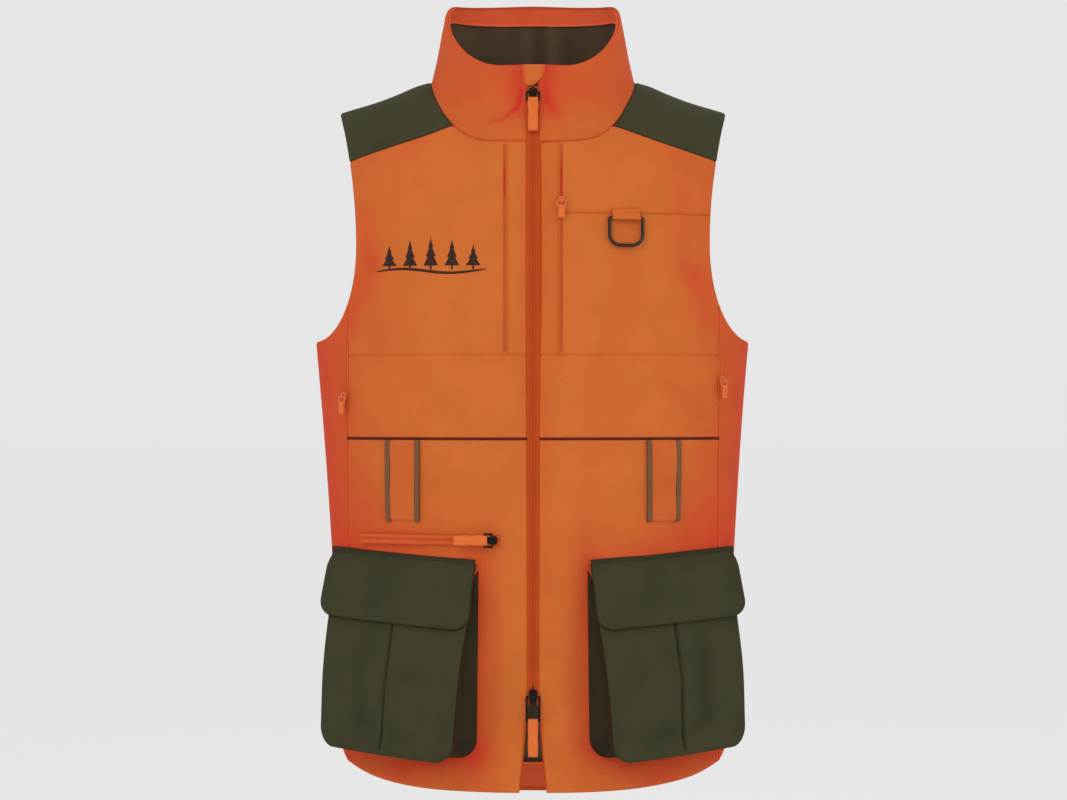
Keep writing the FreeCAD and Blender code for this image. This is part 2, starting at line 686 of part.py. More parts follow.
def pocket_point(across, z, depth):
    """Point in the left pocket's own plane: across 0 (inner) to 1 (outer), depth outward."""
    slant = math.tan(math.radians(D["pocket_slant"])) * D["pocket_width"] * (across - 0.5)
    return POCKET_CORNER + ALONG * (D["pocket_width"] * across) + OUTWARD * depth \
        + FreeCAD.Vector(0, 0, z + slant)


def body_depth(across, z):
    """Depth of the vest's own surface in the pocket's plane."""
    target = pocket_point(across, z, 0)
    low, high = -60.0, 60.0
    for _ in range(30):
        middle = (low + high) / 2
        probe = target + OUTWARD * middle
        plan = math.hypot(probe.x, probe.y - D["side_plane"])
        angle = math.atan2(probe.x, D["side_plane"] - probe.y)
        if plan < radius(angle, probe.z):
            low = middle
        else:
            high = middle
    return (low + high) / 2


def pocket_front_depth(across, drop):
    """Depth of the pocket front: drop 0 at the mouth, 1 at the bottom."""
    bottom = D["pocket_bottom_depth"] + (D["pocket_outer_depth"] - D["pocket_bottom_depth"]) * across
    depth = D["pocket_top_depth"] + (bottom - D["pocket_top_depth"]) * drop
    return depth + D["pocket_crown"] * 4 * across * (1 - across)


def rounded(across, drop):
    """Pull the two bottom corners of the pocket outline in."""
    sideways = 2 * across - 1
    corner = D["pocket_corner"] * (abs(sideways) * drop) ** D["corner_power"]
    return 0.5 + sideways * (1 - corner) / 2, drop * (1 - corner)


def front_point(across, drop):
    """Point of the pocket front."""
    across, drop = rounded(across, drop)
    z = D["pocket_top"] + (D["pocket_bottom"] - D["pocket_top"]) * drop
    return pocket_point(across, z, pocket_front_depth(across, drop))


def base_point(across, drop):
    """Foot of the gusset, just off the vest's surface."""
    across, drop = rounded(across, drop)
    z = D["pocket_top"] + (D["pocket_bottom"] - D["pocket_top"]) * drop
    return pocket_point(across, z, body_depth(across, z) + D["shell_thickness"] + D["gusset_gap"])


def rim_path(travel):
    """Walk of the pocket outline: down the inner side, along the bottom, up the outer side."""
    height = D["pocket_top"] - D["pocket_bottom"]
    total = 2 * height + D["pocket_width"]
    gone = travel * total
    if gone < height:
        return 0.0, gone / height
    if gone < height + D["pocket_width"]:
        return (gone - height) / D["pocket_width"], 1.0
    return 1.0, (total - gone) / height


def gusset_surface(travel, rise):
    """Gusset between its foot on the vest (rise 0) and the pocket front (rise 1), folded in."""
    travel = min(max(travel, 0), 1)
    foot = base_point(*rim_path(travel))
    head = front_point(*rim_path(travel))
    middle = pocket_point(0.5, (D["pocket_top"] + D["pocket_bottom"]) / 2, 10)
    inward = middle - (foot + head) * 0.5
    inward.normalize()
    depth = min((head - foot).Length / D["gusset_fold_depth"], 1)
    fold = D["gusset_fold"] * math.sin(math.pi * min(max(rise, 0), 1)) * depth
    return foot + (head - foot) * rise * D["gusset_reach"] + inward * (fold + D["pocket_cloth"])


def mirrored(side, vector):
    """The point itself on the left, its mirror image on the right."""
    return FreeCAD.Vector(side * vector.x, vector.y, vector.z)


def flap_profile(across, drop):
    """Flap surface: from the seam on the vest out over the mouth and down the front."""
    overhang = 2 * D["flap_overhang"] / D["pocket_width"] * (0.4 + 0.6 * drop)
    inset = D["flap_corner"] * (abs(2 * across - 1) * drop) ** D["corner_power"]
    wide = 0.5 + (across - 0.5) * (1 + overhang) * (1 - inset)
    held = min(max(wide, 0), 1)
    z = D["flap_hinge"] - D["flap_seam_drop"] - D["flap_length"] * drop * (1 - inset)
    below = min(max((D["pocket_top"] - z) / (D["pocket_top"] - D["pocket_bottom"]), -0.05), 1)
    near = body_depth(held, D["flap_hinge"]) + D["shell_thickness"] + D["flap_seam_gap"]
    far = pocket_front_depth(held, below) + D["flap_standoff"]
    share = smooth(drop * D["flap_length"] / D["flap_rise_length"])
    return pocket_point(wide, z, near + (far - near) * share)


def make_pocket(name, side):
    """Front, bellows gusset and flap of one cargo pocket."""
    def front(u, v, distance):
        return mirrored(side, offset_point(front_point, u, 1 - v, -distance))

    def gusset(u, v, distance):
        return mirrored(side, offset_point(gusset_surface, 0.001 + 0.998 * u, 0.02 + 0.96 * v, distance))

    def flap(u, v, distance):
        return mirrored(side, offset_point(flap_profile, u, 1 - v, -distance))
    cloth = D["pocket_cloth"]
    add_shape(f"pocket_front_{name}", [patch_solid(front, 18, 18, 0, cloth)])
    add_shape(f"pocket_gusset_{name}", [patch_solid(gusset, 60, 6, -cloth / 2, cloth / 2)])
    add_shape(f"pocket_flap_{name}", [patch_solid(flap, 18, 12, 0, D["flap_cloth"])])
    hinge = D["flap_hinge"] - D["flap_seam_drop"]
    ends = [mirrored(side, pocket_point(end, hinge, D["flap_axis_depth"])) for end in (0, 1)]
    pivot, axis = (ends[0] + ends[1]) * 0.5, (ends[1] - ends[0]) * -side
    axis.normalize()
    print(f"flap_{name}: pivot {rounded_off(pivot, 3)} across {rounded_off(axis)}")


# ---------------------------------------------------------------- placing hardware


def frame_on(x, z, standoff, spin=0.0):
    """Placement on the front: local z outward, local y up the cloth, turned by spin degrees."""
    origin = skin(x, z, standoff)
    up = skin(x, z + 6, standoff) - skin(x, z - 6, standoff)
    up.normalize()
    out = skin(x, z, standoff + 1) - origin
    across = up.cross(out)
    across.normalize()
    out = across.cross(up)
    rotation = FreeCAD.Rotation(across, up, out, "ZXY")
    turn = FreeCAD.Rotation(FreeCAD.Vector(0, 0, 1), spin)
    return FreeCAD.Placement(origin, rotation.multiply(turn))


def primitive(kind, name, **expressions):
    """Part primitive whose properties are bound to expressions over the sheet."""
    item = doc.addObject(f"Part::{kind}", name)
    for path, expression in expressions.items():
        item.setExpression(path.replace("__", "."), expression)
    return item


def boolean(kind, name, base, tool):
    """Boolean of two objects."""
    item = doc.addObject(f"Part::{kind}", name)
    item.Base = base
    item.Tool = tool
    return item


def make_slider(label, prefix, placement):
    """Slider: a channel that rides over the zip chain, with a bridge for the pull."""
    p = f"Params.{prefix}_"
    plate = primitive("Box", f"{label}_plate", Length=f"{p}slider_width", Width=f"{p}slider_length",
                      Height=f"{p}slider_thickness + {p}skirt",
                      Placement__Base__x=f"-{p}slider_width / 2",
                      Placement__Base__y=f"-{p}slider_length / 2", Placement__Base__z=f"-{p}skirt")
    channel = primitive("Box", f"{label}_channel", Length=f"{p}slider_width - 2.4",
                        Width=f"{p}slider_length + 2", Height=f"{p}skirt + 1",
                        Placement__Base__x=f"-{p}slider_width / 2 + 1.2",
                        Placement__Base__y=f"-{p}slider_length / 2 - 1",
                        Placement__Base__z=f"-{p}skirt - 1")
    hollow = boolean("Cut", f"{label}_hollow", plate, channel)
    bridge = primitive("Box", f"{label}_bridge", Length=f"{p}bridge_width",
                       Width=f"{p}slider_length * 0.8", Height=f"{p}bridge_height + 0.4",
                       Placement__Base__x=f"-{p}bridge_width / 2",
                       Placement__Base__y=f"-{p}slider_length * 0.4",
                       Placement__Base__z=f"{p}slider_thickness - 0.4")
    eye = primitive("Cylinder", f"{label}_eye", Radius=f"{p}eye_radius", Height=f"{p}bridge_width + 2",
                    Placement__Base__x=f"-{p}bridge_width / 2 - 1",
                    Placement__Base__z=f"{p}slider_thickness + {p}bridge_height / 2")
    eye.Placement.Rotation = FreeCAD.Rotation(FreeCAD.Vector(0, 1, 0), 90)
    ear = boolean("Cut", f"{label}_ear", bridge, eye)
    slider = boolean("Fuse", label, hollow, ear)
    slider.Label = label
    slider.Placement = placement
    subparts.append(slider)


def make_bracket(label, prefix, placement):
    """Wire loop through the slider's eye: bar at the origin, loop hanging along -y."""
    p = f"Params.{prefix}_"
    wires = []
    for tag, height in (("top", "0"), ("low", f"-{p}bracket_length")):
        bar = primitive("Cylinder", f"{label}_{tag}_bar", Radius=f"{p}wire_radius",
                        Height=f"{p}bracket_width", Placement__Base__x=f"-{p}bracket_width / 2",
                        Placement__Base__y=height)
        bar.Placement.Rotation = FreeCAD.Rotation(FreeCAD.Vector(0, 1, 0), 90)
        wires.append(bar)
    for tag, sign in (("right", "-"), ("left", "")):
        arm = primitive("Cylinder", f"{label}_{tag}_arm", Radius=f"{p}wire_radius",
                        Height=f"{p}bracket_length", Placement__Base__x=f"{sign}{p}bracket_width / 2")
        arm.Placement.Rotation = FreeCAD.Rotation(FreeCAD.Vector(1, 0, 0), 90)
        wires.append(arm)
        for end, height in (("top", "0"), ("low", f"-{p}bracket_length")):
            wires.append(primitive("Sphere", f"{label}_{tag}_{end}_bend", Radius=f"{p}wire_radius",
                                   Placement__Base__x=f"{sign}{p}bracket_width / 2",
                                   Placement__Base__y=height))
    loop = doc.addObject("Part::MultiFuse", label)
    loop.Shapes = wires
    loop.Label = label
    loop.Placement = placement
    subparts.append(loop)


def origin_plane(body, role):
    """One of a body's own origin planes."""
    return next(item for item in body.Origin.OriginFeatures if item.Role == role)


def sketch_on(body, name, role):
    """Empty sketch on an origin plane of its body."""
    sketch = body.newObject("Sketcher::SketchObject", name)
    sketch.AttachmentSupport = [(origin_plane(body, role), "")]
    sketch.MapMode = "FlatFace"
    return sketch


def circle_sketch(body, name, role, radius_expression):
    """Circle about the origin with a bound radius."""
    sketch = sketch_on(body, name, role)
    circle = Part.Circle(FreeCAD.Vector(0, 0, 0), FreeCAD.Vector(0, 0, 1), 3)
    index = sketch.addGeometry(circle, False)
    sketch.addConstraint(Sketcher.Constraint("Coincident", index, 3, -1, 1))
    bound = sketch.addConstraint(Sketcher.Constraint("Radius", index, 3))
    sketch.setExpression(f"Constraints[{bound}]", radius_expression)
    return sketch


def rectangle_sketch(body, name, role, width_expression, height_expression):
    """Rectangle hanging from the horizontal axis, centred on the vertical axis."""
    sketch = sketch_on(body, name, role)
    corners = [(-1, 0), (1, 0), (1, -5), (-1, -5)]
    lines = []
    for start, end in zip(corners, corners[1:] + corners[:1]):
        lines.append(sketch.addGeometry(Part.LineSegment(
            FreeCAD.Vector(*start, 0), FreeCAD.Vector(*end, 0)), False))
    for first, second in zip(lines, lines[1:] + lines[:1]):
        sketch.addConstraint(Sketcher.Constraint("Coincident", first, 2, second, 1))
    for index, kind in zip(lines, ("Horizontal", "Vertical", "Horizontal", "Vertical")):
        sketch.addConstraint(Sketcher.Constraint(kind, index))
    sketch.addConstraint(Sketcher.Constraint("Symmetric", lines[0], 1, lines[0], 2, -1, 1))
    width = sketch.addConstraint(Sketcher.Constraint("DistanceX", lines[0], 1, lines[0], 2, 2))
    height = sketch.addConstraint(Sketcher.Constraint("DistanceY", lines[1], 2, lines[1], 1, 5))
    sketch.setExpression(f"Constraints[{width}]", width_expression)
    sketch.setExpression(f"Constraints[{height}]", height_expression)
    return sketch


def make_strap(label, width, thickness, length, bar_radius, placement):
    """Strap of cloth folded round a bar at the origin, its tail hanging along -y."""
    body = doc.addObject("PartDesign::Body", label)
    body.Label = label
    roll_sketch = circle_sketch(body, f"{label}_roll_sketch", "YZ_Plane",
                                f"{bar_radius} + {thickness} * 0.55")
    roll = body.newObject("PartDesign::Pad", f"{label}_roll")
    roll.Profile = roll_sketch
    roll.setExpression("Length", width)
    roll.Midplane = True
    tail_sketch = rectangle_sketch(body, f"{label}_tail_sketch", "XY_Plane", width, length)
    tail = body.newObject("PartDesign::Pad", f"{label}_tail")
    tail.Profile = tail_sketch
    tail.setExpression("Length", thickness)
    tail.Midplane = True
    bore_sketch = circle_sketch(body, f"{label}_bore_sketch", "YZ_Plane", f"{bar_radius} + 0.12")
    bore = body.newObject("PartDesign::Pocket", f"{label}_bore")
    bore.Profile = bore_sketch
    bore.Type = 1
    bore.Midplane = True
    body.Tip = bore
    body.Placement = placement
    subparts.append(body)


def make_zip_pull(name, prefix, placement, tail_length):
    """Bracket and cloth tab of one pull; the tab's roll goes round the bracket's low bar."""
    make_bracket(f"{name}_bracket", prefix, placement)
    p = f"Params.{prefix}_"
    low_bar = FreeCAD.Placement(FreeCAD.Vector(0, -D[f"{prefix}_bracket_length"], 0), FreeCAD.Rotation())
    make_strap(f"{name}_tab", f"{p}tab_width", f"{p}tab_thickness", tail_length,
               f"{p}wire_radius", placement.multiply(low_bar))


def rounded_off(vector, digits=5):
    """Coordinates of a vector for the build log."""
    return tuple(round(value, digits) for value in vector)


def slider_and_pull(name, prefix, placement, tail_length):
    """Slider at a placement, with its pull hinged in the bridge's eye."""
    make_slider(f"{name}_slider", prefix, placement)
    eye = FreeCAD.Vector(0, 0, D[f"{prefix}_slider_thickness"] + D[f"{prefix}_bridge_height"] / 2)
    pivot = placement.multiply(FreeCAD.Placement(eye, FreeCAD.Rotation()))
    make_zip_pull(name, prefix, pivot, tail_length)
    print(f"{name}: pivot {rounded_off(pivot.Base, 3)}"
          f" across {rounded_off(pivot.Rotation.multVec(FreeCAD.Vector(1, 0, 0)))}"
          f" up {rounded_off(pivot.Rotation.multVec(FreeCAD.Vector(0, 1, 0)))}")


def zip_line_placement(z, standoff):
    """Placement on the straight main zip line."""
    up = FreeCAD.Vector(0, D["front_rise"] / D["hem_length"], 1)
    up.normalize()
    across = FreeCAD.Vector(1, 0, 0)
    out = across.cross(up)
    origin = FreeCAD.Vector(0, front_depth(z), z) + out * standoff
    return FreeCAD.Placement(origin, FreeCAD.Rotation(across, up, out, "ZXY"))


def make_d_ring():
    """Wire ring: bar in the cloth tab, two legs, two round corners and a foot, hanging along -y."""
    p = "Params.ring_"
    placement = frame_on(D["ring_middle"], D["ring_bar_height"], D["ring_standoff"])
    along = FreeCAD.Rotation(FreeCAD.Vector(0, 1, 0), 90)
    bar = primitive("Cylinder", "d_ring_bar", Radius=f"{p}wire_radius", Height=f"{p}radius * 2",
                    Placement__Base__x=f"-{p}radius")
    bar.Placement.Rotation = along
    foot = primitive("Cylinder", "d_ring_foot", Radius=f"{p}wire_radius",
                     Height=f"({p}radius - {p}corner) * 2", Placement__Base__x=f"{p}corner - {p}radius",
                     Placement__Base__y=f"-{p}leg - {p}corner")
    foot.Placement.Rotation = along
    pieces = [bar, foot]
    for tag, sign, turn in (("right", "-", 180), ("left", "", 270)):
        corner = primitive("Torus", f"d_ring_{tag}_corner", Radius1=f"{p}corner",
                           Radius2=f"{p}wire_radius", Placement__Base__x=f"{sign}({p}radius - {p}corner)",
                           Placement__Base__y=f"-{p}leg")
        corner.Angle3 = 90
        corner.Placement.Rotation = FreeCAD.Rotation(FreeCAD.Vector(0, 0, 1), turn)
        leg = primitive("Cylinder", f"d_ring_{tag}_leg", Radius=f"{p}wire_radius", Height=f"{p}leg",
                        Placement__Base__x=f"{sign}{p}radius")
        leg.Placement.Rotation = FreeCAD.Rotation(FreeCAD.Vector(1, 0, 0), 90)
        bend = primitive("Sphere", f"d_ring_{tag}_bend", Radius=f"{p}wire_radius",
                         Placement__Base__x=f"{sign}{p}radius")
        pieces += [corner, leg, bend]
    ring = doc.addObject("Part::MultiFuse", "d_ring")
    ring.Shapes = pieces
    ring.Label = "d_ring"
    ring.Placement = placement
    subparts.append(ring)
    print(f"d_ring: pivot {rounded_off(placement.Base, 3)}"
          f" across {rounded_off(placement.Rotation.multVec(FreeCAD.Vector(1, 0, 0)))}")
    over = FreeCAD.Placement(FreeCAD.Vector(0, 0, 0), FreeCAD.Rotation(FreeCAD.Vector(1, 0, 0), 180))
    make_strap("d_ring_tab", f"{p}tab_width", f"{p}tab_thickness", f"{p}tab_length",
               f"{p}wire_radius + 0.3", placement.multiply(over))


# ---------------------------------------------------------------- build

for side_name, side_sign in SIDES.items():
    make_front(side_name, side_sign)
    make_side(side_name, side_sign)
    make_shoulder(side_name, side_sign)
    make_pocket(side_name, side_sign)
make_back()
make_collar()
make_linings()
make_main_zip()
make_trim()
make_d_ring()

slider_base = D["chain_near"] + D["chain_thickness"] + D["slider_clearance"]
slider_and_pull("main_zip", "main", zip_line_placement(D["main_slider_height"], slider_base),
                "Params.main_tab_length")
slider_and_pull("lower_zip", "lower", zip_line_placement(D["lower_slider_height"], slider_base),
                "Params.lower_tab_length")
small_base = sum(D[part] for part in ("shell_thickness", "trim_gap", "small_tape_thickness",
                                      "slider_clearance", "small_skirt"))
slider_and_pull("chest_zip", "small",
                frame_on(D["chest_zip_offset"], D["chest_zip_slider_height"], small_base),
                "Params.small_tab_length")
make_waist_zip()
for side_name, side_sign in SIDES.items():
    slider_and_pull(f"side_zip_{side_name}", "small",
                    frame_on(side_sign * D["front_seam"], D[f"side_slider_{side_name}"], small_base),
                    "Params.small_tab_length")
doc.recompute()

# ---------------------------------------------------------------- checks and export

failed = [item.Label for item in doc.Objects if "Invalid" in item.State or "Error" in item.State]
if failed:
    raise RuntimeError(f"objects failed to recompute: {failed}")
faulty = [piece.Label for piece in subparts
          if piece.Shape.isNull() or not piece.Shape.isValid() or piece.Shape.Volume <= 0]
if faulty:
    raise RuntimeError(f"sub-parts with no valid shape: {faulty}")
os.makedirs("parts", exist_ok=True)
for piece in subparts:
    piece.Shape.exportStep(f"parts/{piece.Label}.step")
    print(f"{piece.Label}: {piece.Shape.Volume:.0f} mm3, {len(piece.Shape.Solids)} solid(s)")
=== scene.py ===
"""Looks of the blaze orange field vest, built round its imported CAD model. Metres, front faces -Y."""

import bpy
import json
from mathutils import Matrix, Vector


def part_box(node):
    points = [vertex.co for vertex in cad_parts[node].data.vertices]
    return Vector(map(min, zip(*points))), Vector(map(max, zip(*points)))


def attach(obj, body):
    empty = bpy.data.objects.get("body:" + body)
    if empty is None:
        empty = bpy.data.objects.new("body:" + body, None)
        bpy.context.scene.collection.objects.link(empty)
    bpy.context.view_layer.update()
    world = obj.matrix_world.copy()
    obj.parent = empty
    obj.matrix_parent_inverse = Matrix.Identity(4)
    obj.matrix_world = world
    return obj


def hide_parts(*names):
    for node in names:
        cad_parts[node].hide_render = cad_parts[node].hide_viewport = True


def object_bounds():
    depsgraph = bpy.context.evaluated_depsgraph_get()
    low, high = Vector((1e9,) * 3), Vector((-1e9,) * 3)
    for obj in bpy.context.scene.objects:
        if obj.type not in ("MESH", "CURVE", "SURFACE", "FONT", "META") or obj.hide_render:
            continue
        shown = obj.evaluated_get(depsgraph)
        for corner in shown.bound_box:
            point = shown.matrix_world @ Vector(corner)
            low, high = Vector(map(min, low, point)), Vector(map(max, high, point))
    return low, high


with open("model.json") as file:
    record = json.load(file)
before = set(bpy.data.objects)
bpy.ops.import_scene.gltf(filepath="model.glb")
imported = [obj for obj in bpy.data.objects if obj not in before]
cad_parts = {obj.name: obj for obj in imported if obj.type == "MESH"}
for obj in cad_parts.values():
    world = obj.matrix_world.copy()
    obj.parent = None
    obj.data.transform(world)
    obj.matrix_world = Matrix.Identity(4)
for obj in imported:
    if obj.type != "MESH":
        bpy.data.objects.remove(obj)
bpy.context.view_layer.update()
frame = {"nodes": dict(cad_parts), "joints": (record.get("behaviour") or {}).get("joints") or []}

import json
import math

import bmesh
import bpy
import numpy as np
from mathutils import Vector

RIGHT, LEFT = -1, 1
SIDES = {"right": RIGHT, "left": LEFT}
RNG = np.random.default_rng(7)

# ---------------------------------------------------------------- the torso surface of the CAD model

HEM_HALF, CHEST_HALF, SHOULDER_HALF = 0.197, 0.222, 0.212
ARMPIT_Z, HEM_Z, ARMHOLE_WAIST_Z = -0.266, -0.713, -0.170
SIDE_PLANE, POWER = 0.005, 2.3
NECK_HALF, NECK_BLEND = 0.105, 0.0795
FRONT_NECK_DROP, BACK_NECK_DROP = 0.069, 0.022
FRONT_SEAM, ARMHOLE_WAIST = 0.187, 0.178
SIDE_HEM_Z, SIDE_HEM_ARCH = -0.693, 0.018
CHEST_SEAM_Z, PIPING_Z, BACK_SEAM_Z = -0.281, -0.364, -0.170
ZIP_END_Z, ZIP_EDGE = -0.612, 0.0057
SHOULDER_ROUND = 0.150
COLLAR_FRONT_TOP, COLLAR_SHARE = 0.0073, 0.82
POCKET_TURN = math.radians(29.7)
CHEST_LAP_Z, STRIP_X, STRIP_HALF, STRIP_TALL = -0.140, 0.1285, 0.012, 0.080
SIDE_FLARE = 1.6
FRONT_HEM_Y, FRONT_LEAN, FRONT_LEAN_TALL = -0.128, 0.020, 0.720
BACK_HEM_Y, BACK_SWELL, BACK_SWELL_TALL = 0.118, 0.007, 0.446
BACK_LEAN, BACK_LEAN_Z, BACK_LEAN_TALL = 0.043, -0.200, 0.178
RIDGE_Z, RIDGE_SLOPE = 0.036, 0.344
# The flatter plane behind each cargo pocket: its reach, how it eases out, and how sharply it blends
PLANE_REACH, PLANE_TOP_Z, PLANE_BLEND, PLANE_LEAN = 0.147, -0.420, 18, 0.3
PLANE_EASE, PLANE_EASE_TALL, PLANE_FADE = 0.016, 0.100, 0.060
ARMHOLE_FLARE, ARMHOLE_TALL = 0.020, 0.138
FRONT_NECK_POWER, BACK_NECK_POWER = 4.8, 4
YOKE_SEAM_Z, YOKE_SEAM_SLOPE = -0.051, 0.313
BACK_YOKE_X, BACK_YOKE_SLOPE = 0.084, 0.7
FRONT_HEM_RISE, BACK_HEM_Z, BACK_HEM_RISE = 0.021, -0.743, 0.050
VENT_TALL, VENT_SPREAD, VENT_START_TALL = 0.101, 0.0078, 0.022
TAPE_GAP, TAPE_SHOWN = 0.0008, 0.0014
# Cloth laid without rolled edges or the fine rows beside them
PLAIN = {"rolls": "", "fine": False}


def smooth(value):
    value = np.clip(value, 0, 1)
    return value * value * (3 - 2 * value)


def bell(off, width):
    """Soft bump: 1 in the middle, falling away over the width."""
    return np.exp(-(off / width) ** 2)


def dome(share):
    """Half-round section over a share from 0 to 1."""
    return np.sqrt(np.clip(1 - (2 * share - 1) ** 2, 0, 1))


def half_width(z):
    below = np.clip((z - HEM_Z) / (ARMPIT_Z - HEM_Z), 0, None)
    low = HEM_HALF + (CHEST_HALF - HEM_HALF) * below ** SIDE_FLARE
    rise = smooth((z - ARMHOLE_WAIST_Z) / -ARMHOLE_WAIST_Z)
    return np.where(z < ARMPIT_Z, low, CHEST_HALF + (SHOULDER_HALF - CHEST_HALF) * rise)


def front_depth(z):
    return FRONT_HEM_Y + FRONT_LEAN * (z - HEM_Z) / FRONT_LEAN_TALL


def back_depth(z):
    lower = BACK_HEM_Y + BACK_SWELL * smooth((z - HEM_Z) / BACK_SWELL_TALL)
    return lower - BACK_LEAN * (np.clip(z - BACK_LEAN_Z, 0, None) / BACK_LEAN_TALL) ** 2


def ridge(x):
    return RIDGE_Z - RIDGE_SLOPE * np.abs(x)


def plan_radius(angle, z):
    front = np.cos(angle) >= 0
    depth = np.where(front, SIDE_PLANE - front_depth(z), back_depth(z) - SIDE_PLANE)
    full = (np.abs(np.sin(angle)) / half_width(z)) ** POWER + (np.abs(np.cos(angle)) / depth) ** POWER
    full = full ** (-1 / POWER)
    lean = np.cos(np.abs(angle) - POCKET_TURN)
    ease = 1 - smooth((PLANE_TOP_Z - z) / PLANE_EASE_TALL)
    fade = smooth((z - PLANE_TOP_Z) / PLANE_FADE)
    plane = (PLANE_REACH + PLANE_EASE * ease + PLANE_FADE * fade) / np.maximum(lean, PLANE_LEAN)
    flat = (full ** -PLANE_BLEND + plane ** -PLANE_BLEND) ** (-1 / PLANE_BLEND)
    return np.where(front & (lean >= PLANE_LEAN), flat, full)


def torso(angle, z):
    """Surface point at a plan angle: 0 is the zip, +90 degrees the wearer's left side."""
    reach = plan_radius(angle, z)
    x = reach * np.sin(angle)
    under = np.clip((ridge(x) - z) / SHOULDER_ROUND, 0, 1)
    rounding = np.sqrt(1 - (1 - under) ** 2)
    ease = 1 - smooth(np.abs(x) / NECK_BLEND) * (1 - rounding)
    return np.stack([x, SIDE_PLANE - ease * reach * np.cos(angle), z + 0 * x], axis=-1)


def shoulder(x, roll):
    """Surface point near the shoulder ridge: roll 0 to 90 degrees is the front, to 180 the back."""
    z = ridge(x) - SHOULDER_ROUND * (1 - np.sin(roll))
    edge = (1 - np.clip(np.abs(x) / half_width(z), 0, 1) ** POWER) ** (1 / POWER)
    depth = np.where(np.cos(roll) >= 0, SIDE_PLANE - front_depth(z), back_depth(z) - SIDE_PLANE)
    return np.stack([x + 0 * z, SIDE_PLANE - np.cos(roll) * depth * edge, z], axis=-1)


def angle_at(x, z, back=False):
    """Plan angle (0 to 180 degrees) where the surface is |x| from the middle."""
    x, z = np.broadcast_arrays(np.abs(np.asarray(x, float)), np.asarray(z, float))
    low, high = np.zeros(x.shape), np.full(x.shape, math.pi / 2)
    for _ in range(38):
        middle = (low + high) / 2
        short = plan_radius(math.pi - middle if back else middle, z) * np.sin(middle) < x
        low, high = np.where(short, middle, low), np.where(short, high, middle)
    angle = (low + high) / 2
    return math.pi - angle if back else angle


def unit(vectors):
    return vectors / np.maximum(np.linalg.norm(vectors, axis=-1, keepdims=True), 1e-12)


def normals_of(surface, first, second):
    step = 1e-4
    along = surface(first + step, second) - surface(first - step, second)
    up = surface(first, second + step) - surface(first, second - step)
    return unit(np.cross(along, up))


# ---------------------------------------------------------------- outlines of the cut pieces


def armhole_x(z):
    upper = ARMHOLE_WAIST + ARMHOLE_FLARE * ((z - ARMHOLE_WAIST_Z) / ARMHOLE_TALL) ** 2
    drop = np.clip((ARMHOLE_WAIST_Z - z) / (ARMHOLE_WAIST_Z - ARMPIT_Z), 0, 1)
    lower = ARMHOLE_WAIST + (CHEST_HALF - ARMHOLE_WAIST) * (1 - np.sqrt(1 - drop * drop))
    return np.where(z > ARMHOLE_WAIST_Z, upper, lower)


def armhole_z(x):
    across = np.clip(1 - (x - ARMHOLE_WAIST) / (CHEST_HALF - ARMHOLE_WAIST), -1, 1)
    return ARMHOLE_WAIST_Z - (ARMHOLE_WAIST_Z - ARMPIT_Z) * np.sqrt(1 - across * across)


SEAM_TOP_Z = float(armhole_z(FRONT_SEAM))


def side_seam_x(z):
    return np.where(z > SEAM_TOP_Z, armhole_x(z), FRONT_SEAM)


def front_neck_z(x):
    return -FRONT_NECK_DROP * (1 - np.clip(np.abs(x) / NECK_HALF, 0, 1) ** FRONT_NECK_POWER)


def back_neck_z(x):
    return -BACK_NECK_DROP * (1 - np.clip(np.abs(x) / NECK_HALF, 0, 1) ** BACK_NECK_POWER)


def front_top_z(x):
    yoke = YOKE_SEAM_Z - YOKE_SEAM_SLOPE * (np.abs(x) - NECK_BLEND)
    return np.where(np.abs(x) < NECK_BLEND, front_neck_z(x), yoke)


def back_top_z(x):
    outer = float(back_neck_z(BACK_YOKE_X)) - (np.abs(x) - BACK_YOKE_X) * BACK_YOKE_SLOPE
    return np.where(np.abs(x) < BACK_YOKE_X, back_neck_z(x), outer)


def front_hem_z(x):
    return HEM_Z + FRONT_HEM_RISE * (np.abs(x) / FRONT_SEAM) ** 5


def back_hem_z(x):
    return BACK_HEM_Z + BACK_HEM_RISE * (np.abs(x) / FRONT_SEAM) ** 4


def front_edge_x(z):
    """Front edge of the panels: straight beside the zip, spreading below the lower slider."""
    below = np.clip(ZIP_END_Z - z, 0, None) / VENT_TALL
    return ZIP_EDGE + VENT_SPREAD * below ** 1.5


def vent_x(z):
    """Half gap between the zip tapes: closed above the lower slider, a vent below it."""
    opened = smooth((ZIP_END_Z - z) / VENT_START_TALL)
    return TAPE_GAP + (front_edge_x(z) - TAPE_SHOWN) * opened


def seam_roll(x, z):
    return np.arcsin(np.clip(1 - (ridge(x) - z) / SHOULDER_ROUND, -1, 1))


# ---------------------------------------------------------------- fields: (u, v) to surface parameters


def coons(bottom, top, inner, outer):
    """Fill four edge curves of a parameter plane; u goes inner to outer, v goes up."""
    def inside(u, v):
        zero, one = np.zeros(1), np.ones(1)
        result = []
        for k in (0, 1):
            low, high, left, right = bottom(u)[k], top(u)[k], inner(v)[k], outer(v)[k]
            flat = ((1 - u) * (1 - v) * bottom(zero)[k] + u * (1 - v) * bottom(one)[k]
                    + (1 - u) * v * top(zero)[k] + u * v * top(one)[k])
            result.append((1 - u) * left + u * right + (1 - v) * low + v * high - flat)
        return tuple(result)
    return inside


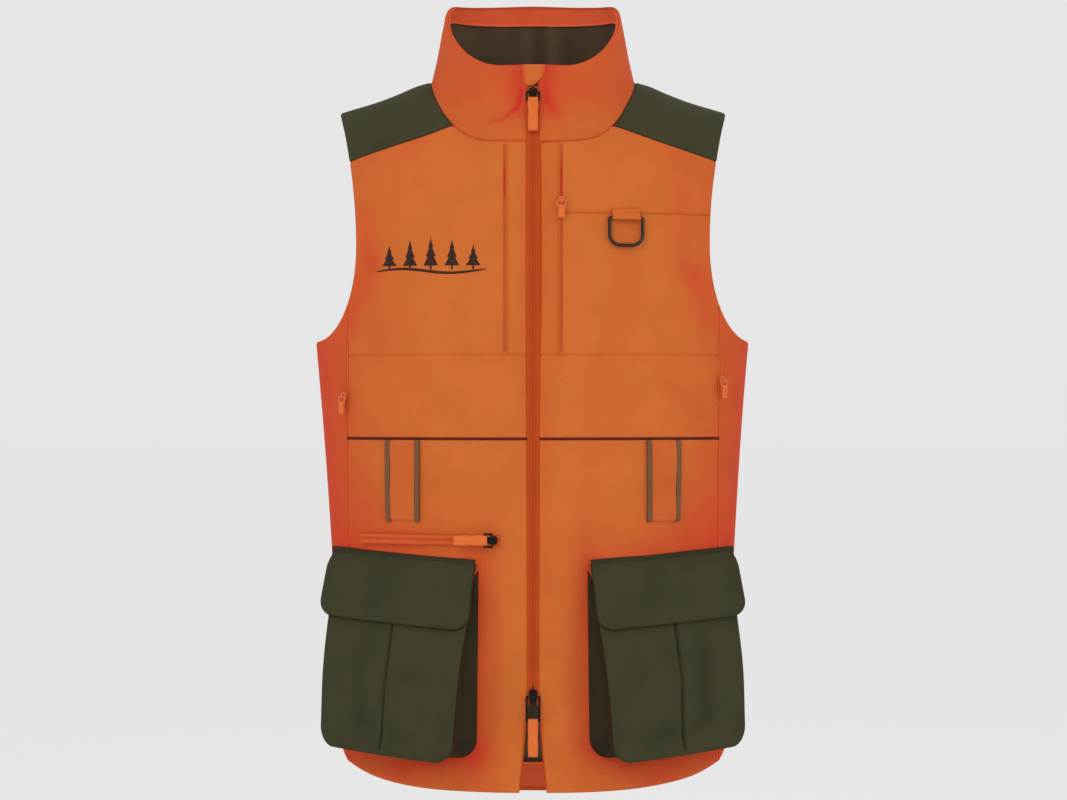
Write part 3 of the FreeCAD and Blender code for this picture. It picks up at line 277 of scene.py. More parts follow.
def front_field(side, inner_x, outer_x, bottom_z, top_z):
    """Field of a front panel, from limits that are numbers or functions."""
    inner_x, outer_x, bottom_z, top_z = [
        limit if callable(limit) else (lambda value: lambda _: value + 0 * _)(limit)
        for limit in (inner_x, outer_x, bottom_z, top_z)]

    def corner(x_at, z_at):
        x = np.array([float(x_at(np.array(-0.4)))])
        for _ in range(14):
            x = x_at(z_at(x))
        return x, z_at(x)

    def rail(z_at, start, end, u):
        x = start + (end - start) * u
        z = z_at(x)
        return side * angle_at(x, z), z + 0 * x

    def edge(x_at, start, end, v):
        z = start + (end - start) * v
        return side * angle_at(x_at(z), z), z
    low_in, low_out = corner(inner_x, bottom_z), corner(outer_x, bottom_z)
    top_in, top_out = corner(inner_x, top_z), corner(outer_x, top_z)
    return coons(lambda u: rail(bottom_z, low_in[0], low_out[0], u),
                 lambda u: rail(top_z, top_in[0], top_out[0], u),
                 lambda v: edge(inner_x, low_in[1], top_in[1], v),
                 lambda v: edge(outer_x, low_out[1], top_out[1], v))


def back_field(bottom_z, top_z, edge_x):
    """Field across the whole back, from the left edge to the right edge."""
    def turned(x, z):
        angle = angle_at(np.maximum(np.abs(x), 1e-6), z, True)
        return np.where(x >= 0, angle, 2 * math.pi - angle), z

    def rail(z_at, u):
        start = edge_x(z_at(np.array([FRONT_SEAM])))
        x = start * (1 - 2 * u)
        return turned(x, z_at(x))

    def side_edge(v, side):
        low, high = bottom_z(np.array([FRONT_SEAM])), top_z(np.array([FRONT_SEAM]))
        z = low + (high - low) * v
        return turned(side * edge_x(z), z)
    return coons(lambda u: rail(bottom_z, u), lambda u: rail(top_z, u),
                 lambda v: side_edge(v, 1), lambda v: side_edge(v, -1))


def side_field(side):
    def underarm(u):
        across = 2 * u - 1
        x = CHEST_HALF - (CHEST_HALF - FRONT_SEAM) * across ** 2
        z = armhole_z(x)
        return side * np.where(across > 0, angle_at(x, z, True), angle_at(x, z)), z

    def seam(v, back):
        z = SIDE_HEM_Z + (SEAM_TOP_Z - SIDE_HEM_Z) * v
        return side * angle_at(FRONT_SEAM + 0 * z, z, back), z

    def hem(u):
        zero = np.zeros(1)
        start, end = seam(zero, False), seam(zero, True)
        return start[0] + (end[0] - start[0]) * u, start[1] + SIDE_HEM_ARCH * np.sin(math.pi * u)
    return coons(hem, underarm, lambda v: seam(v, False), lambda v: seam(v, True))


def yoke_field():
    outer_front = float(armhole_x(np.array(-0.085)))
    outer_back_z = float(back_top_z(np.array(outer_front)))

    def front_edge(u):
        x = NECK_BLEND + (outer_front - NECK_BLEND) * u
        return x, seam_roll(x, front_top_z(x))

    def back_edge(u):
        x = BACK_YOKE_X + (float(armhole_x(np.array(outer_back_z))) - BACK_YOKE_X) * u
        return x, math.pi - seam_roll(x, back_top_z(x))

    def neck_edge(v):
        start = math.asin(NECK_BLEND / NECK_HALF)
        end = math.pi - math.asin(BACK_YOKE_X / NECK_HALF)
        turn = start + (end - start) * v
        x = NECK_HALF * np.sin(turn)
        front = np.cos(turn) >= 0
        roll = seam_roll(x, np.where(front, front_neck_z(x), back_neck_z(x)))
        return x, np.where(front, roll, math.pi - roll)

    def armhole_edge(v):
        one = np.ones(1)
        start, end = front_edge(one)[1], back_edge(one)[1]
        roll = start + (end - start) * v
        z = -0.05 + 0 * roll
        for _ in range(30):
            z = ridge(armhole_x(z)) - SHOULDER_ROUND * (1 - np.sin(roll))
        return armhole_x(z), roll
    return coons(front_edge, back_edge, neck_edge, armhole_edge)


# ---------------------------------------------------------------- relief: folds, drape and seams

# Soft folds of the front, on the wearer's left, mirrored to the right with other strength:
# start x, z, end x, z, half width, height (left), height (right)
FRONT_FOLDS = [
    (0.030, -0.400, 0.034, -0.700, 0.011, 0.0012, 0.0006),
    (0.052, -0.440, 0.048, -0.700, 0.012, -0.0014, -0.0008),
    (0.070, -0.370, 0.060, -0.520, 0.014, 0.0010, 0.0012),
    (0.170, -0.235, 0.120, -0.345, 0.013, 0.0017, 0.0012),
    (0.160, -0.255, 0.095, -0.350, 0.012, -0.0012, -0.0014),
    (0.178, -0.270, 0.140, -0.400, 0.012, 0.0012, 0.0014),
    (0.165, -0.380, 0.172, -0.475, 0.009, -0.0012, -0.0010),
    (0.090, -0.370, 0.098, -0.465, 0.012, 0.0009, -0.0010),
    (0.060, -0.080, 0.078, -0.240, 0.020, 0.0010, 0.0008),
    (0.110, -0.090, 0.100, -0.270, 0.024, -0.0009, 0.0011),
    (0.150, -0.100, 0.145, -0.200, 0.014, 0.0012, 0.0008),
    (0.020, -0.290, 0.120, -0.330, 0.013, -0.0008, 0.0009),
    (0.100, -0.300, 0.175, -0.350, 0.011, 0.0010, -0.0008),
    (0.020, -0.660, 0.110, -0.700, 0.014, 0.0014, 0.0012),
    (0.100, -0.690, 0.170, -0.700, 0.010, 0.0014, 0.0010),
]
# Folds of the back and sides: start arc position from the middle of the back, z, end, half width, height
BACK_FOLDS = [
    (0.020, -0.250, 0.012, -0.620, 0.024, 0.0018), (0.070, -0.200, 0.085, -0.560, 0.022, -0.0022),
    (0.120, -0.220, 0.105, -0.600, 0.018, 0.0024), (0.160, -0.260, 0.150, -0.520, 0.014, -0.0016),
    (0.060, -0.090, 0.150, -0.170, 0.016, 0.0016), (0.040, -0.120, 0.120, -0.230, 0.018, -0.0012),
    (0.190, -0.290, 0.205, -0.480, 0.014, 0.0018), (0.230, -0.300, 0.222, -0.560, 0.013, -0.0016),
    (0.262, -0.300, 0.255, -0.600, 0.012, 0.0016), (0.205, -0.520, 0.215, -0.690, 0.015, -0.0014),
    (0.090, -0.600, 0.080, -0.735, 0.020, 0.0016), (0.000, -0.640, 0.006, -0.740, 0.022, -0.0016),
]


def fold(across, up, start, end, width, height):
    """Height of one soft fold along a segment of a flat pair of coordinates."""
    run = np.array(end) - np.array(start)
    length = np.hypot(*run)
    share = ((across - start[0]) * run[0] + (up - start[1]) * run[1]) / length ** 2
    off = ((across - start[0]) * run[1] - (up - start[1]) * run[0]) / length
    off = off + 0.25 * width * np.sin(share * 7)
    fade = smooth(share * 3 + 0.4) * smooth((1 - share) * 3 + 0.4)
    return height * bell(off, width) * fade


WAVES = [(RNG.uniform(14, 42) * np.array([math.cos(t), math.sin(t)]), RNG.uniform(0, 6.28),
          RNG.uniform(0.00012, 0.00034)) for t in RNG.uniform(-0.9, 0.9, 16)]


def drape(points, normals):
    """Folds and slow waves shared by every panel, so that they run across the seams."""
    x, z = points[..., 0], points[..., 2]
    front = smooth((-normals[..., 1] - 0.15) / 0.3)
    total = np.zeros(x.shape)
    for x0, z0, x1, z1, width, left, right in FRONT_FOLDS:
        total += front * fold(x, z, (x0, z0), (x1, z1), width, left)
        total += front * fold(-x, z, (x0, z0), (x1, z1), width, right)
    arc = np.arctan2(np.abs(x), points[..., 1] - SIDE_PLANE) * 0.19
    for a0, z0, a1, z1, width, height in BACK_FOLDS:
        ripple = fold(arc, z, (a0, z0), (a1, z1), width, height)
        total += (1 - front) * ripple * np.where(x > 0, 1.0, 0.75)
    around = np.arctan2(x, -points[..., 1]) * 0.19
    for direction, phase, height in WAVES:
        total += height * np.sin(direction[0] * around * 1.6 + direction[1] * z * 0.7 + phase)
    return total


POCKET_WIDTH, POCKET_TOP, POCKET_BOTTOM = 0.163, -0.504, -0.676
POCKET_INNER = np.array([0.057, -0.125])
SLANT = math.tan(math.radians(3.3)) * POCKET_WIDTH
ALONG = np.array([math.cos(POCKET_TURN), math.sin(POCKET_TURN), 0])
OUTWARD = np.array([math.sin(POCKET_TURN), -math.cos(POCKET_TURN), 0])


def pocket_shadow(points):
    """Painted shadow beside the cargo pockets: how near a point of the front lies to a pocket's outline, 1 at
    the outline.
    """
    x, y = np.abs(points[..., 0]) - POCKET_INNER[0], points[..., 1] - POCKET_INNER[1]
    flat = x * ALONG[0] + y * ALONG[1]
    across = flat / POCKET_WIDTH
    up = points[..., 2] - SLANT * (across - 0.5)
    sideways = np.maximum(np.maximum(-flat, flat - POCKET_WIDTH), 0)
    below = np.maximum(np.maximum(POCKET_BOTTOM - up, up + 0.480), 0)
    return np.exp(-np.hypot(sideways, below * 0.55) / 0.013) * (points[..., 1] < 0)


# ---------------------------------------------------------------- mesh building


def ramp(length, step, fine):
    """Spaced positions from 0 to 1, closer together near both ends."""
    near = [0.0]
    if fine:
        near = [0.0, 0.0004, 0.0009, 0.0016, 0.0025, 0.0038, 0.0055]
        near = [value for value in near if value < length * 0.3]
    inner = np.linspace(near[-1], length - near[-1], max(int((length - 2 * near[-1]) / step), 1) + 1)
    spots = np.concatenate([near[:-1], inner, [length - value for value in near[:-1]][::-1]])
    return spots / length


def grid_faces(rows, columns, offset=0, flip=False):
    index = np.arange(rows * columns).reshape(rows, columns) + offset
    quads = np.stack([index[:-1, :-1], index[1:, :-1], index[1:, 1:], index[:-1, 1:]], axis=-1).reshape(-1, 4)
    return quads[:, ::-1] if flip else quads


def tube_faces(base, rows, around, start_cap=True):
    """Quads between rings of points along a tube, then its ends."""
    faces = []
    for row in range(rows - 1):
        for k in range(around):
            a, b = base + row * around + k, base + row * around + (k + 1) % around
            faces.append((a, b, b + around, a + around))
    if start_cap:
        faces.append(tuple(range(base, base + around))[::-1])
    faces.append(tuple(range(base + (rows - 1) * around, base + rows * around)))
    return faces


def once(node, side):
    """The CAD node that a mirrored pair replaces, named by its right-hand piece alone."""
    return (node,) if side == RIGHT else ()


def make_object(name, vertices, faces, uv=None, tint=None, smooth_shading=True):
    mesh = bpy.data.meshes.new(name)
    vertices = np.asarray(vertices, float).reshape(-1, 3)
    mesh.from_pydata(vertices.tolist(), [], [list(map(int, face)) for face in faces])
    if uv is not None:
        layer = mesh.uv_layers.new(name="cloth")
        corner = np.zeros(len(mesh.loops), int)
        mesh.loops.foreach_get("vertex_index", corner)
        layer.data.foreach_set("uv", np.asarray(uv, float).reshape(-1, 2)[corner].ravel())
    # Per-vertex painted shade, which the cloth materials mix in as their deeper colour.
    if tint is not None:
        layer = mesh.attributes.new("tint", "FLOAT", "POINT")
        layer.data.foreach_set("value", np.asarray(tint, float).ravel())
    mesh.validate()
    mesh.update()
    for polygon in mesh.polygons:
        polygon.use_smooth = smooth_shading
    piece = bpy.data.objects.new(name, mesh)
    bpy.context.scene.collection.objects.link(piece)
    return piece


def finish_piece(piece, material, body="vest", replaces=()):
    piece.data.materials.append(material)
    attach(piece, body)
    if replaces:
        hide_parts(*replaces)
    return piece


def running(points, axis):
    """Distance along a grid from its first row or column."""
    steps = np.linalg.norm(np.diff(points, axis=axis), axis=-1)
    pad = [(0, 0), (0, 0)]
    pad[axis] = (1, 0)
    return np.pad(np.cumsum(steps, axis=axis), pad)


def cloth(name, material, slot, surface, field, step=0.0035, mirror=1, lift=0.001, thick=0.0016,
          relief=None, rolls="lrbt", roll_depth=0.0012, roll_width=0.0013, body="vest", replaces=(),
          shade=None, fine=True):
    """Closed piece of cloth over a surface; returns its outer grid for stitching."""
    coarse = np.meshgrid(np.linspace(0, 1, 9), np.linspace(0, 1, 9), indexing="ij")
    rough = surface(*field(*coarse))
    wide = running(rough, 0)[-1].mean()
    tall = running(rough, 1)[:, -1].mean()
    u, v = np.meshgrid(ramp(wide, step, fine), ramp(tall, step, fine), indexing="ij")
    first, second = field(u, v)
    points, normals = surface(first, second), normals_of(surface, first, second)
    scale = np.array([mirror, 1, 1])
    points, normals = points * scale, normals * scale
    across, upward = running(points, 0), running(points, 1)
    edges = {"l": across, "r": across[-1] - across, "b": upward, "t": upward[:, -1:] - upward}
    height = np.zeros(u.shape)
    if relief:
        height = relief(points, normals, edges, u, v)
    for key in rolls:
        height = height - roll_depth * bell(edges[key], roll_width)
    outer = points + normals * (lift + height)[..., None]
    inner = points + normals * (lift + height - thick)[..., None]
    rows, columns = u.shape
    turn = np.einsum("ijk,ijk->ij", np.cross(outer[1:, :-1] - outer[:-1, :-1],
                                             outer[:-1, 1:] - outer[:-1, :-1]), normals[:-1, :-1]).mean() < 0
    faces = [grid_faces(rows, columns, 0, turn), grid_faces(rows, columns, rows * columns, not turn)]
    index = np.arange(rows * columns).reshape(rows, columns)
    rim = np.concatenate([index[:, 0], index[-1, 1:], index[-2::-1, -1], index[0, -2:0:-1]])
    ahead = np.roll(rim, -1)
    band = np.stack([rim, ahead, ahead + rows * columns, rim + rows * columns], axis=-1)
    faces.append(band[:, ::-1] if turn else band)
    uv = np.stack([across, upward], axis=-1)
    # Painted shade per vertex, from the piece's shade function; none where the piece has none.
    tint = np.clip(shade(points, normals, height), 0, 1) if shade else np.zeros(u.shape)
    piece = make_object(name, np.concatenate([outer.reshape(-1, 3), inner.reshape(-1, 3)]),
                        np.concatenate(faces), np.concatenate([uv.reshape(-1, 2)] * 2),
                        np.concatenate([tint.ravel()] * 2))
    finish_piece(piece, material, body, replaces)
    cut = running(points, 0)[-1].max(), running(points, 1)[:, -1].max()
    return {"piece": piece, "points": outer, "normals": normals, "edges": edges, "body": body}


# Strokes of painted shade on the front, redder where folds and the pockets leave the cloth in shade: start x,
# z, end x, z, half width, strength
SHADE_STROKES = [
    (0.144, -0.100, 0.156, -0.214, 0.013, 0.26), (0.153, -0.190, 0.185, -0.262, 0.014, 0.30),
    (-0.168, -0.127, -0.160, -0.195, 0.010, 0.22), (-0.160, -0.175, -0.185, -0.262, 0.012, 0.28),
    (0.185, -0.424, 0.105, -0.483, 0.022, 0.14), (-0.183, -0.424, -0.113, -0.468, 0.016, 0.14),
    (0.012, -0.300, 0.014, -0.560, 0.008, 0.12), (0.120, -0.300, 0.175, -0.345, 0.010, 0.16),
    (0.035, -0.660, 0.150, -0.700, 0.014, 0.30), (-0.035, -0.665, -0.150, -0.700, 0.014, 0.35),
]


def shell_shade(points, normals, height):
    """Painted shade: the fluorescent cloth is painted redder where it turns away, in hollows, beside the
    pockets and along the listed strokes.
    """
    turned = np.clip((0.96 - np.abs(normals[..., 1])) / 0.62, 0, 1)
    hollow = np.clip(-height / 0.0050, 0, 0.12)
    stroke_shade = sum(fold(points[..., 0], points[..., 2], (x0, z0), (x1, z1), width, strength)
                for x0, z0, x1, z1, width, strength in SHADE_STROKES) * (points[..., 1] < 0)
    return 0.80 * turned + hollow + 0.50 * pocket_shadow(points) + stroke_shade


def shell_relief(points, normals, edges, u, v):
    """Drape plus the small puckers that gather along sewn edges."""
    height = drape(points, normals)
    for key, other in (("l", "b"), ("r", "b"), ("b", "l"), ("t", "l")):
        along = edges[other]
        pucker = np.sin(along * 560 + 3 * np.sin(along * 90)) * (0.6 + 0.4 * np.sin(along * 37))
        height = height + 0.00016 * pucker * np.exp(-edges[key] / 0.006)
    return height


def edge_run(sheet, key, inset, start=0.0, end=1.0):
    """Points and normals on a cloth grid at a distance in from one edge."""
    distance, points, normals = sheet["edges"][key], sheet["points"], sheet["normals"]
    if key in "bt":
        lines = range(points.shape[0])
        pick = lambda grid, i: grid[i]
    else:
        lines = range(points.shape[1])
        pick = lambda grid, i: grid[:, i]
    found, facing = [], []
    for i in lines:
        where, row, away = pick(distance, i), pick(points, i), pick(normals, i)
        order = np.argsort(where)
        found.append([np.interp(inset, where[order], row[order, k]) for k in range(3)])
        facing.append([np.interp(inset, where[order], away[order, k]) for k in range(3)])
    count = len(found)
    keep = slice(int(round(start * (count - 1))), int(round(end * (count - 1))) + 1)
    return np.array(found)[keep], unit(np.array(facing))[keep]


def resampled(points, normals, pitch):
    along = np.concatenate([[0], np.cumsum(np.linalg.norm(np.diff(points, axis=0), axis=1))])
    count = max(int(along[-1] / pitch), 1)
    spots = (np.arange(count) + 0.5) * along[-1] / count
    place = np.stack([np.interp(spots, along, points[:, k]) for k in range(3)], axis=1)
    ahead = np.stack([np.interp(spots + pitch * 0.2, along, points[:, k]) for k in range(3)], axis=1)
    behind = np.stack([np.interp(spots - pitch * 0.2, along, points[:, k]) for k in range(3)], axis=1)
    facing = unit(np.stack([np.interp(spots, along, normals[:, k]) for k in range(3)], axis=1))
    return place, unit(ahead - behind), facing


def stitches(name, runs, material, body="vest", pitch=0.0030, length=0.0021, radius=0.00028):
    """Rows of thread: each stitch is a short plump capsule half sunk in the cloth."""
    rings = [(-0.5, 0.25), (-0.3, 0.9), (0.0, 1.1), (0.3, 0.9), (0.5, 0.25)]
    sides = 5
    vertices, faces = [], []
    for points, normals in runs:
        place, along, facing = resampled(points, normals, pitch)
        across = unit(np.cross(along, facing))
        for spot, run, out, side in zip(place, along, facing, across):
            base = len(vertices)
            tilt = unit(run + side * 0.10)
            for share, swell in rings:
                sink = radius * (0.35 - 2.2 * share * share)
                for k in range(sides):
                    turn = 2 * math.pi * k / sides
                    rise, aside = radius * swell * math.sin(turn), radius * swell * math.cos(turn)
                    vertices.append(spot + tilt * (share * length) + out * (sink + rise) + side * aside)
            faces += tube_faces(base, len(rings), sides)
    piece = make_object(name, vertices, faces, uv=np.zeros((len(vertices), 2)))
    return finish_piece(piece, material, body)


# ---------------------------------------------------------------- materials


def linear(red, green, blue):
    """Linear colour of three display values from 0 to 255."""
    def one(value):
        value /= 255
        return value / 12.92 if value <= 0.04045 else ((value + 0.055) / 1.055) ** 2.4
    return (one(red), one(green), one(blue), 1)


def new_material(name):
    material = bpy.data.materials.new(name)
    material.use_nodes = True
    tree = material.node_tree
    return material, tree, tree.nodes["Principled BSDF"]


def set_inputs(node, **values):
    """Set a node's inputs by name, with underscores for the spaces."""
    for name, value in values.items():
        node.inputs[name.replace("_", " ")].default_value = value
    return node


def add_node(tree, kind, **values):
    return set_inputs(tree.nodes.new("ShaderNode" + kind), **values)


def link(tree, source, output, target, socket):
    tree.links.new(source.outputs[output], target.inputs[socket])


def mix_colour(tree, factor, first, second, kind="MIX"):
    node = tree.nodes.new("ShaderNodeMix")
    node.data_type, node.blend_type = "RGBA", kind
    for socket, value in ((0, factor), (6, first), (7, second)):
        if hasattr(value, "links"):
            tree.links.new(value, node.inputs[socket])
        else:
            node.inputs[socket].default_value = value
    return node.outputs[2]


def woven(name, base, deep=None, rib=0.00055, rib_y=None, depth=0.00012, rough=0.85, sheen=0.25,
          cloudy=0.05, glow=None, slub=0.06):
    """Woven cloth: two sets of yarns in the bump, uneven dye, and painted shade: the deeper colour mixed in
    by the per-vertex painted shade attribute.
    """
    material, tree, shader = new_material(name)
    uv = tree.nodes.new("ShaderNodeUVMap")
    uv.uv_map = "cloth"
    yarns = []
    for axis, pitch in (("X", rib), ("Y", rib_y or rib)):
        wave = add_node(tree, "TexWave", Scale=0.314 / pitch, Distortion=0.4, Detail=1.0)
        wave.bands_direction = axis
        link(tree, uv, 0, wave, "Vector")
        yarns.append(wave)
    weave = tree.nodes.new("ShaderNodeMath")
    weave.operation = "MAXIMUM"
    for k, wave in enumerate(yarns):
        tree.links.new(wave.outputs["Fac"], weave.inputs[k])
    place = tree.nodes.new("ShaderNodeTexCoord")
    cloud = add_node(tree, "TexNoise", Scale=28, Detail=6)
    link(tree, place, "Object", cloud, "Vector")
    grain = add_node(tree, "TexNoise", Scale=900, Detail=3)
    link(tree, place, "Object", grain, "Vector")
    colour = base
    if deep:
        tint = tree.nodes.new("ShaderNodeAttribute")
        tint.attribute_name = "tint"
        colour = mix_colour(tree, tint.outputs["Fac"], base, deep)
    for source, amount in ((cloud, cloudy), (grain, slub)):
        spread = add_node(tree, "MapRange", From_Min=0.3, From_Max=0.7, To_Min=1 - amount,
                          To_Max=1 + amount)
        link(tree, source, "Fac", spread, "Value")
        scale = tree.nodes.new("ShaderNodeVectorMath")
        scale.operation = "SCALE"
        if hasattr(colour, "links"):
            tree.links.new(colour, scale.inputs[0])
        else:
            scale.inputs[0].default_value = colour[:3]
        tree.links.new(spread.outputs[0], scale.inputs["Scale"])
        colour = scale.outputs[0]
    tree.links.new(colour, shader.inputs["Base Color"])
    height = tree.nodes.new("ShaderNodeMath")
    height.operation = "MULTIPLY_ADD"
    height.inputs[1].default_value = 0.5
    link(tree, grain, "Fac", height, 0)
    link(tree, weave, 0, height, 2)
    bump = add_node(tree, "Bump", Strength=0.55, Distance=depth)
    link(tree, height, 0, bump, "Height")
    link(tree, bump, 0, shader, "Normal")
    set_inputs(shader, Roughness=rough, Specular_IOR_Level=0.12, Sheen_Weight=sheen, Sheen_Roughness=0.5,
               Sheen_Tint=base)
    # Painted glow: a constant red emission, lit or not, standing in for the cloth's fluorescence.
    if glow:
        set_inputs(shader, Emission_Color=glow, Emission_Strength=0.10)
    return material


def metal(name, base, rough, metallic, scratch=0.08, coat=0.0, gloss=0.5):
    material, tree, shader = new_material(name)
    place = tree.nodes.new("ShaderNodeTexCoord")
    noise = add_node(tree, "TexNoise", Scale=600, Detail=5)
    link(tree, place, "Object", noise, "Vector")
    spread = add_node(tree, "MapRange", To_Min=max(rough - scratch, 0.02), To_Max=rough + scratch)
    link(tree, noise, "Fac", spread, "Value")
    tree.links.new(spread.outputs[0], shader.inputs["Roughness"])
    worn = tuple(min(channel * 1.5 + 0.004, 1) for channel in base[:3]) + (1,)
    colour = mix_colour(tree, noise.outputs["Fac"], base, worn)
    tree.links.new(colour, shader.inputs["Base Color"])
    bump = add_node(tree, "Bump", Distance=0.00004, Strength=0.3)
    link(tree, noise, "Fac", bump, "Height")
    link(tree, bump, 0, shader, "Normal")
    set_inputs(shader, Metallic=metallic, Specular_IOR_Level=gloss, Coat_Weight=coat, Coat_Roughness=0.1)
    return material


# Woven cloths: own colour, then the deeper colour that the painted shade mixes in; ORANGE_GLOW is a painted
# red glow for the orange cloths.
ORANGE_GLOW = (1.0, 0.06, 0.02, 1)
ORANGE = woven("orange_cloth", linear(188, 105, 45), linear(187, 48, 34), glow=ORANGE_GLOW)
SIDE_ORANGE = woven("side_orange_cloth", linear(186, 94, 45), linear(186, 58, 34), rib=0.0007,
                    glow=ORANGE_GLOW)
OLIVE = woven("olive_cloth", linear(63, 61, 40), linear(42, 39, 24), rib=0.0006, cloudy=0.08, depth=0.0002,
              sheen=0.15)
# The gusset is the pocket olive made darker: partly its own browner colour, partly painted shade for where it
# sits between pocket and body.
GUSSET = woven("gusset_cloth", linear(48, 42, 27), linear(32, 26, 16), cloudy=0.12, rough=0.7, sheen=0.1)
LINING = woven("lining_cloth", linear(92, 76, 56), linear(72, 57, 42), rib=0.0004, cloudy=0.1, rough=0.6)
FACING = woven("facing_cloth", linear(213, 93, 54), linear(190, 58, 34), glow=ORANGE_GLOW)
TAPE = woven("zip_tape", linear(186, 72, 22), linear(150, 44, 18), rib=0.0009, rib_y=0.0014, depth=0.0002)
CHAIN = woven("zip_chain", linear(186, 70, 24), linear(158, 50, 18), rib=0.0007, rib_y=0.0012, depth=0.0002,
              rough=0.5, sheen=0)
PIPING = woven("dark_piping", linear(88, 32, 25), rib=0.0008, depth=0.0002)
BINDING = woven("binding", linear(120, 84, 58), linear(84, 52, 36), rib=0.0011, rib_y=0.0005, depth=0.0003)
RIBBED = woven("ribbed_strip", linear(190, 102, 46), linear(186, 50, 38), rib=0.0016, rib_y=0.0006,
               depth=0.0004, glow=ORANGE_GLOW)
PULL = woven("pull_cloth", linear(214, 112, 54), linear(190, 70, 40), rib=0.0012, rib_y=0.0005, depth=0.0003,
             glow=ORANGE_GLOW)
ORANGE_THREAD = woven("orange_thread", linear(204, 108, 52), rib=0.0003, sheen=0.4, glow=ORANGE_GLOW)
OLIVE_THREAD = woven("olive_thread", linear(82, 82, 58), rib=0.0003, sheen=0.4)
BROWN_THREAD = woven("brown_thread", linear(58, 36, 28), rib=0.0003, sheen=0.5, rough=0.55)
BLACK = metal("black_metal", linear(9, 8, 9), 0.36, 0.0, coat=0.06, gloss=0.15)
ORANGE_METAL = metal("orange_metal", linear(196, 92, 44), 0.42, 0.0)
GUNMETAL = metal("gunmetal", linear(50, 44, 42), 0.18, 1.0, coat=0.1)

# ---------------------------------------------------------------- shell panels


def make_shell():
    sheets = {}
    placket_x = float(front_edge_x(np.array(0.0))) + 0.020
    for name, side in SIDES.items():
        def panel(label, limits, material=ORANGE, **extra):
            node = f"{label}_{name}"
            sheets[node] = cloth(f"{node}_cloth", material, "orange_cloth", torso,
                                 front_field(side, *limits), relief=shell_relief, shade=shell_shade,
                                 replaces=(node,), **extra)
        panel("chest_panel", (placket_x, side_seam_x, CHEST_SEAM_Z, front_top_z))
        panel("placket", (front_edge_x, placket_x, CHEST_SEAM_Z, front_neck_z))
        panel("waist_band", (front_edge_x, FRONT_SEAM, PIPING_Z, CHEST_SEAM_Z))
        panel("lower_front", (front_edge_x, FRONT_SEAM, front_hem_z, PIPING_Z))
        node = f"side_panel_{name}"
        sheets[node] = cloth(f"{node}_cloth", SIDE_ORANGE, "orange_cloth", torso, side_field(side),
                             step=0.004, relief=shell_relief, shade=shell_shade, replaces=(node,))
        node = f"shoulder_yoke_{name}"
        sheets[node] = cloth(f"{node}_cloth", OLIVE, "olive_cloth", shoulder, yoke_field(), mirror=side,
                             relief=yoke_relief, shade=olive_shade, replaces=(node,))
    seam = lambda x: BACK_SEAM_Z + 0 * x
    sheets["back_panel"] = cloth("back_panel_cloth", ORANGE, "orange_cloth", torso,
                                 back_field(back_hem_z, seam, side_seam_x), step=0.0045,
                                 relief=shell_relief, shade=shell_shade, replaces=("back_panel",))
    sheets["back_yoke"] = cloth("back_yoke_cloth", ORANGE, "orange_cloth", torso,
                                back_field(seam, back_top_z, side_seam_x), step=0.004,
                                relief=shell_relief, shade=shell_shade, replaces=("back_yoke",))
    return sheets


def yoke_relief(points, normals, edges, u, v):
    x, y = np.abs(points[..., 0]), points[..., 1]
    height = 0.0009 * np.sin(x * 70 + y * 45) * np.sin(y * 30 + 1)
    return height + 0.0008 * bell(x - 0.120 - y * 0.3, 0.010)


def olive_shade(points, normals, height):
    # Painted shade: darker in the hollows of the relief and on faces that turn down.
    return 0.6 * np.clip(-height / 0.0022, 0, 1) + 0.25 * np.clip(-normals[..., 2], 0, 1)


# ---------------------------------------------------------------- collar


COLLAR_HALF, COLLAR_MIDDLE_Y, COLLAR_DEPTH = 0.088, -0.028, 0.080
# The rim's rise from front to back: height, then start and length of the turn in degrees
COLLAR_RISES = [(0.072, 20, 100), (0.007, 100, 80)]


def collar(turn, height):
    x = NECK_HALF * np.sin(turn)
    front = np.cos(turn) >= 0
    z = np.where(front, front_neck_z(x), back_neck_z(x))
    roll = seam_roll(x, z)
    wide = shoulder(x, np.where(front, roll, math.pi - roll))
    angle = np.where(front, angle_at(np.maximum(np.abs(x), 1e-7), z),
                     angle_at(np.maximum(np.abs(x), 1e-7), z, True))
    near = torso(angle * np.where(x < 0, -1, 1), z)
    base = np.where((np.abs(x) > NECK_BLEND)[..., None], wide, near)
    from_zip = np.degrees(np.abs(np.arctan2(np.sin(turn), np.cos(turn))))
    rise = sum(tall * smooth((from_zip - start) / length) for tall, start, length in COLLAR_RISES)
    top = np.stack([COLLAR_HALF * np.sin(turn), COLLAR_MIDDLE_Y - COLLAR_DEPTH * np.cos(turn),
                    COLLAR_FRONT_TOP + rise], axis=-1)
    return base + (top - base) * height[..., None]


# Creases and swells of the collar's front: start x, z, end x, z, half width, height
COLLAR_FOLDS = [
    (-0.0109, -0.0146, -0.0139, -0.0335, 0.0022, -0.0017),
    (-0.0139, -0.0335, -0.0267, -0.0453, 0.0024, -0.0017),
    (-0.0267, -0.0453, -0.0446, -0.0503, 0.0026, -0.0012),
    (0.0099, -0.0087, 0.0168, -0.0335, 0.0040, -0.0012),
    (0.0168, -0.0335, 0.0297, -0.0453, 0.0045, -0.0010),
    (0.0257, -0.0315, 0.0650, -0.0107, 0.0120, -0.0007),
    (-0.0250, -0.0080, -0.0800, -0.0300, 0.0140, 0.0014),
    (0.0350, -0.0450, 0.0850, -0.0350, 0.0130, 0.0014),
    (-0.0850, 0.0000, -0.0950, -0.0400, 0.0110, 0.0010),
    (0.0700, -0.0250, 0.0950, 0.0250, 0.0110, 0.0012),
]


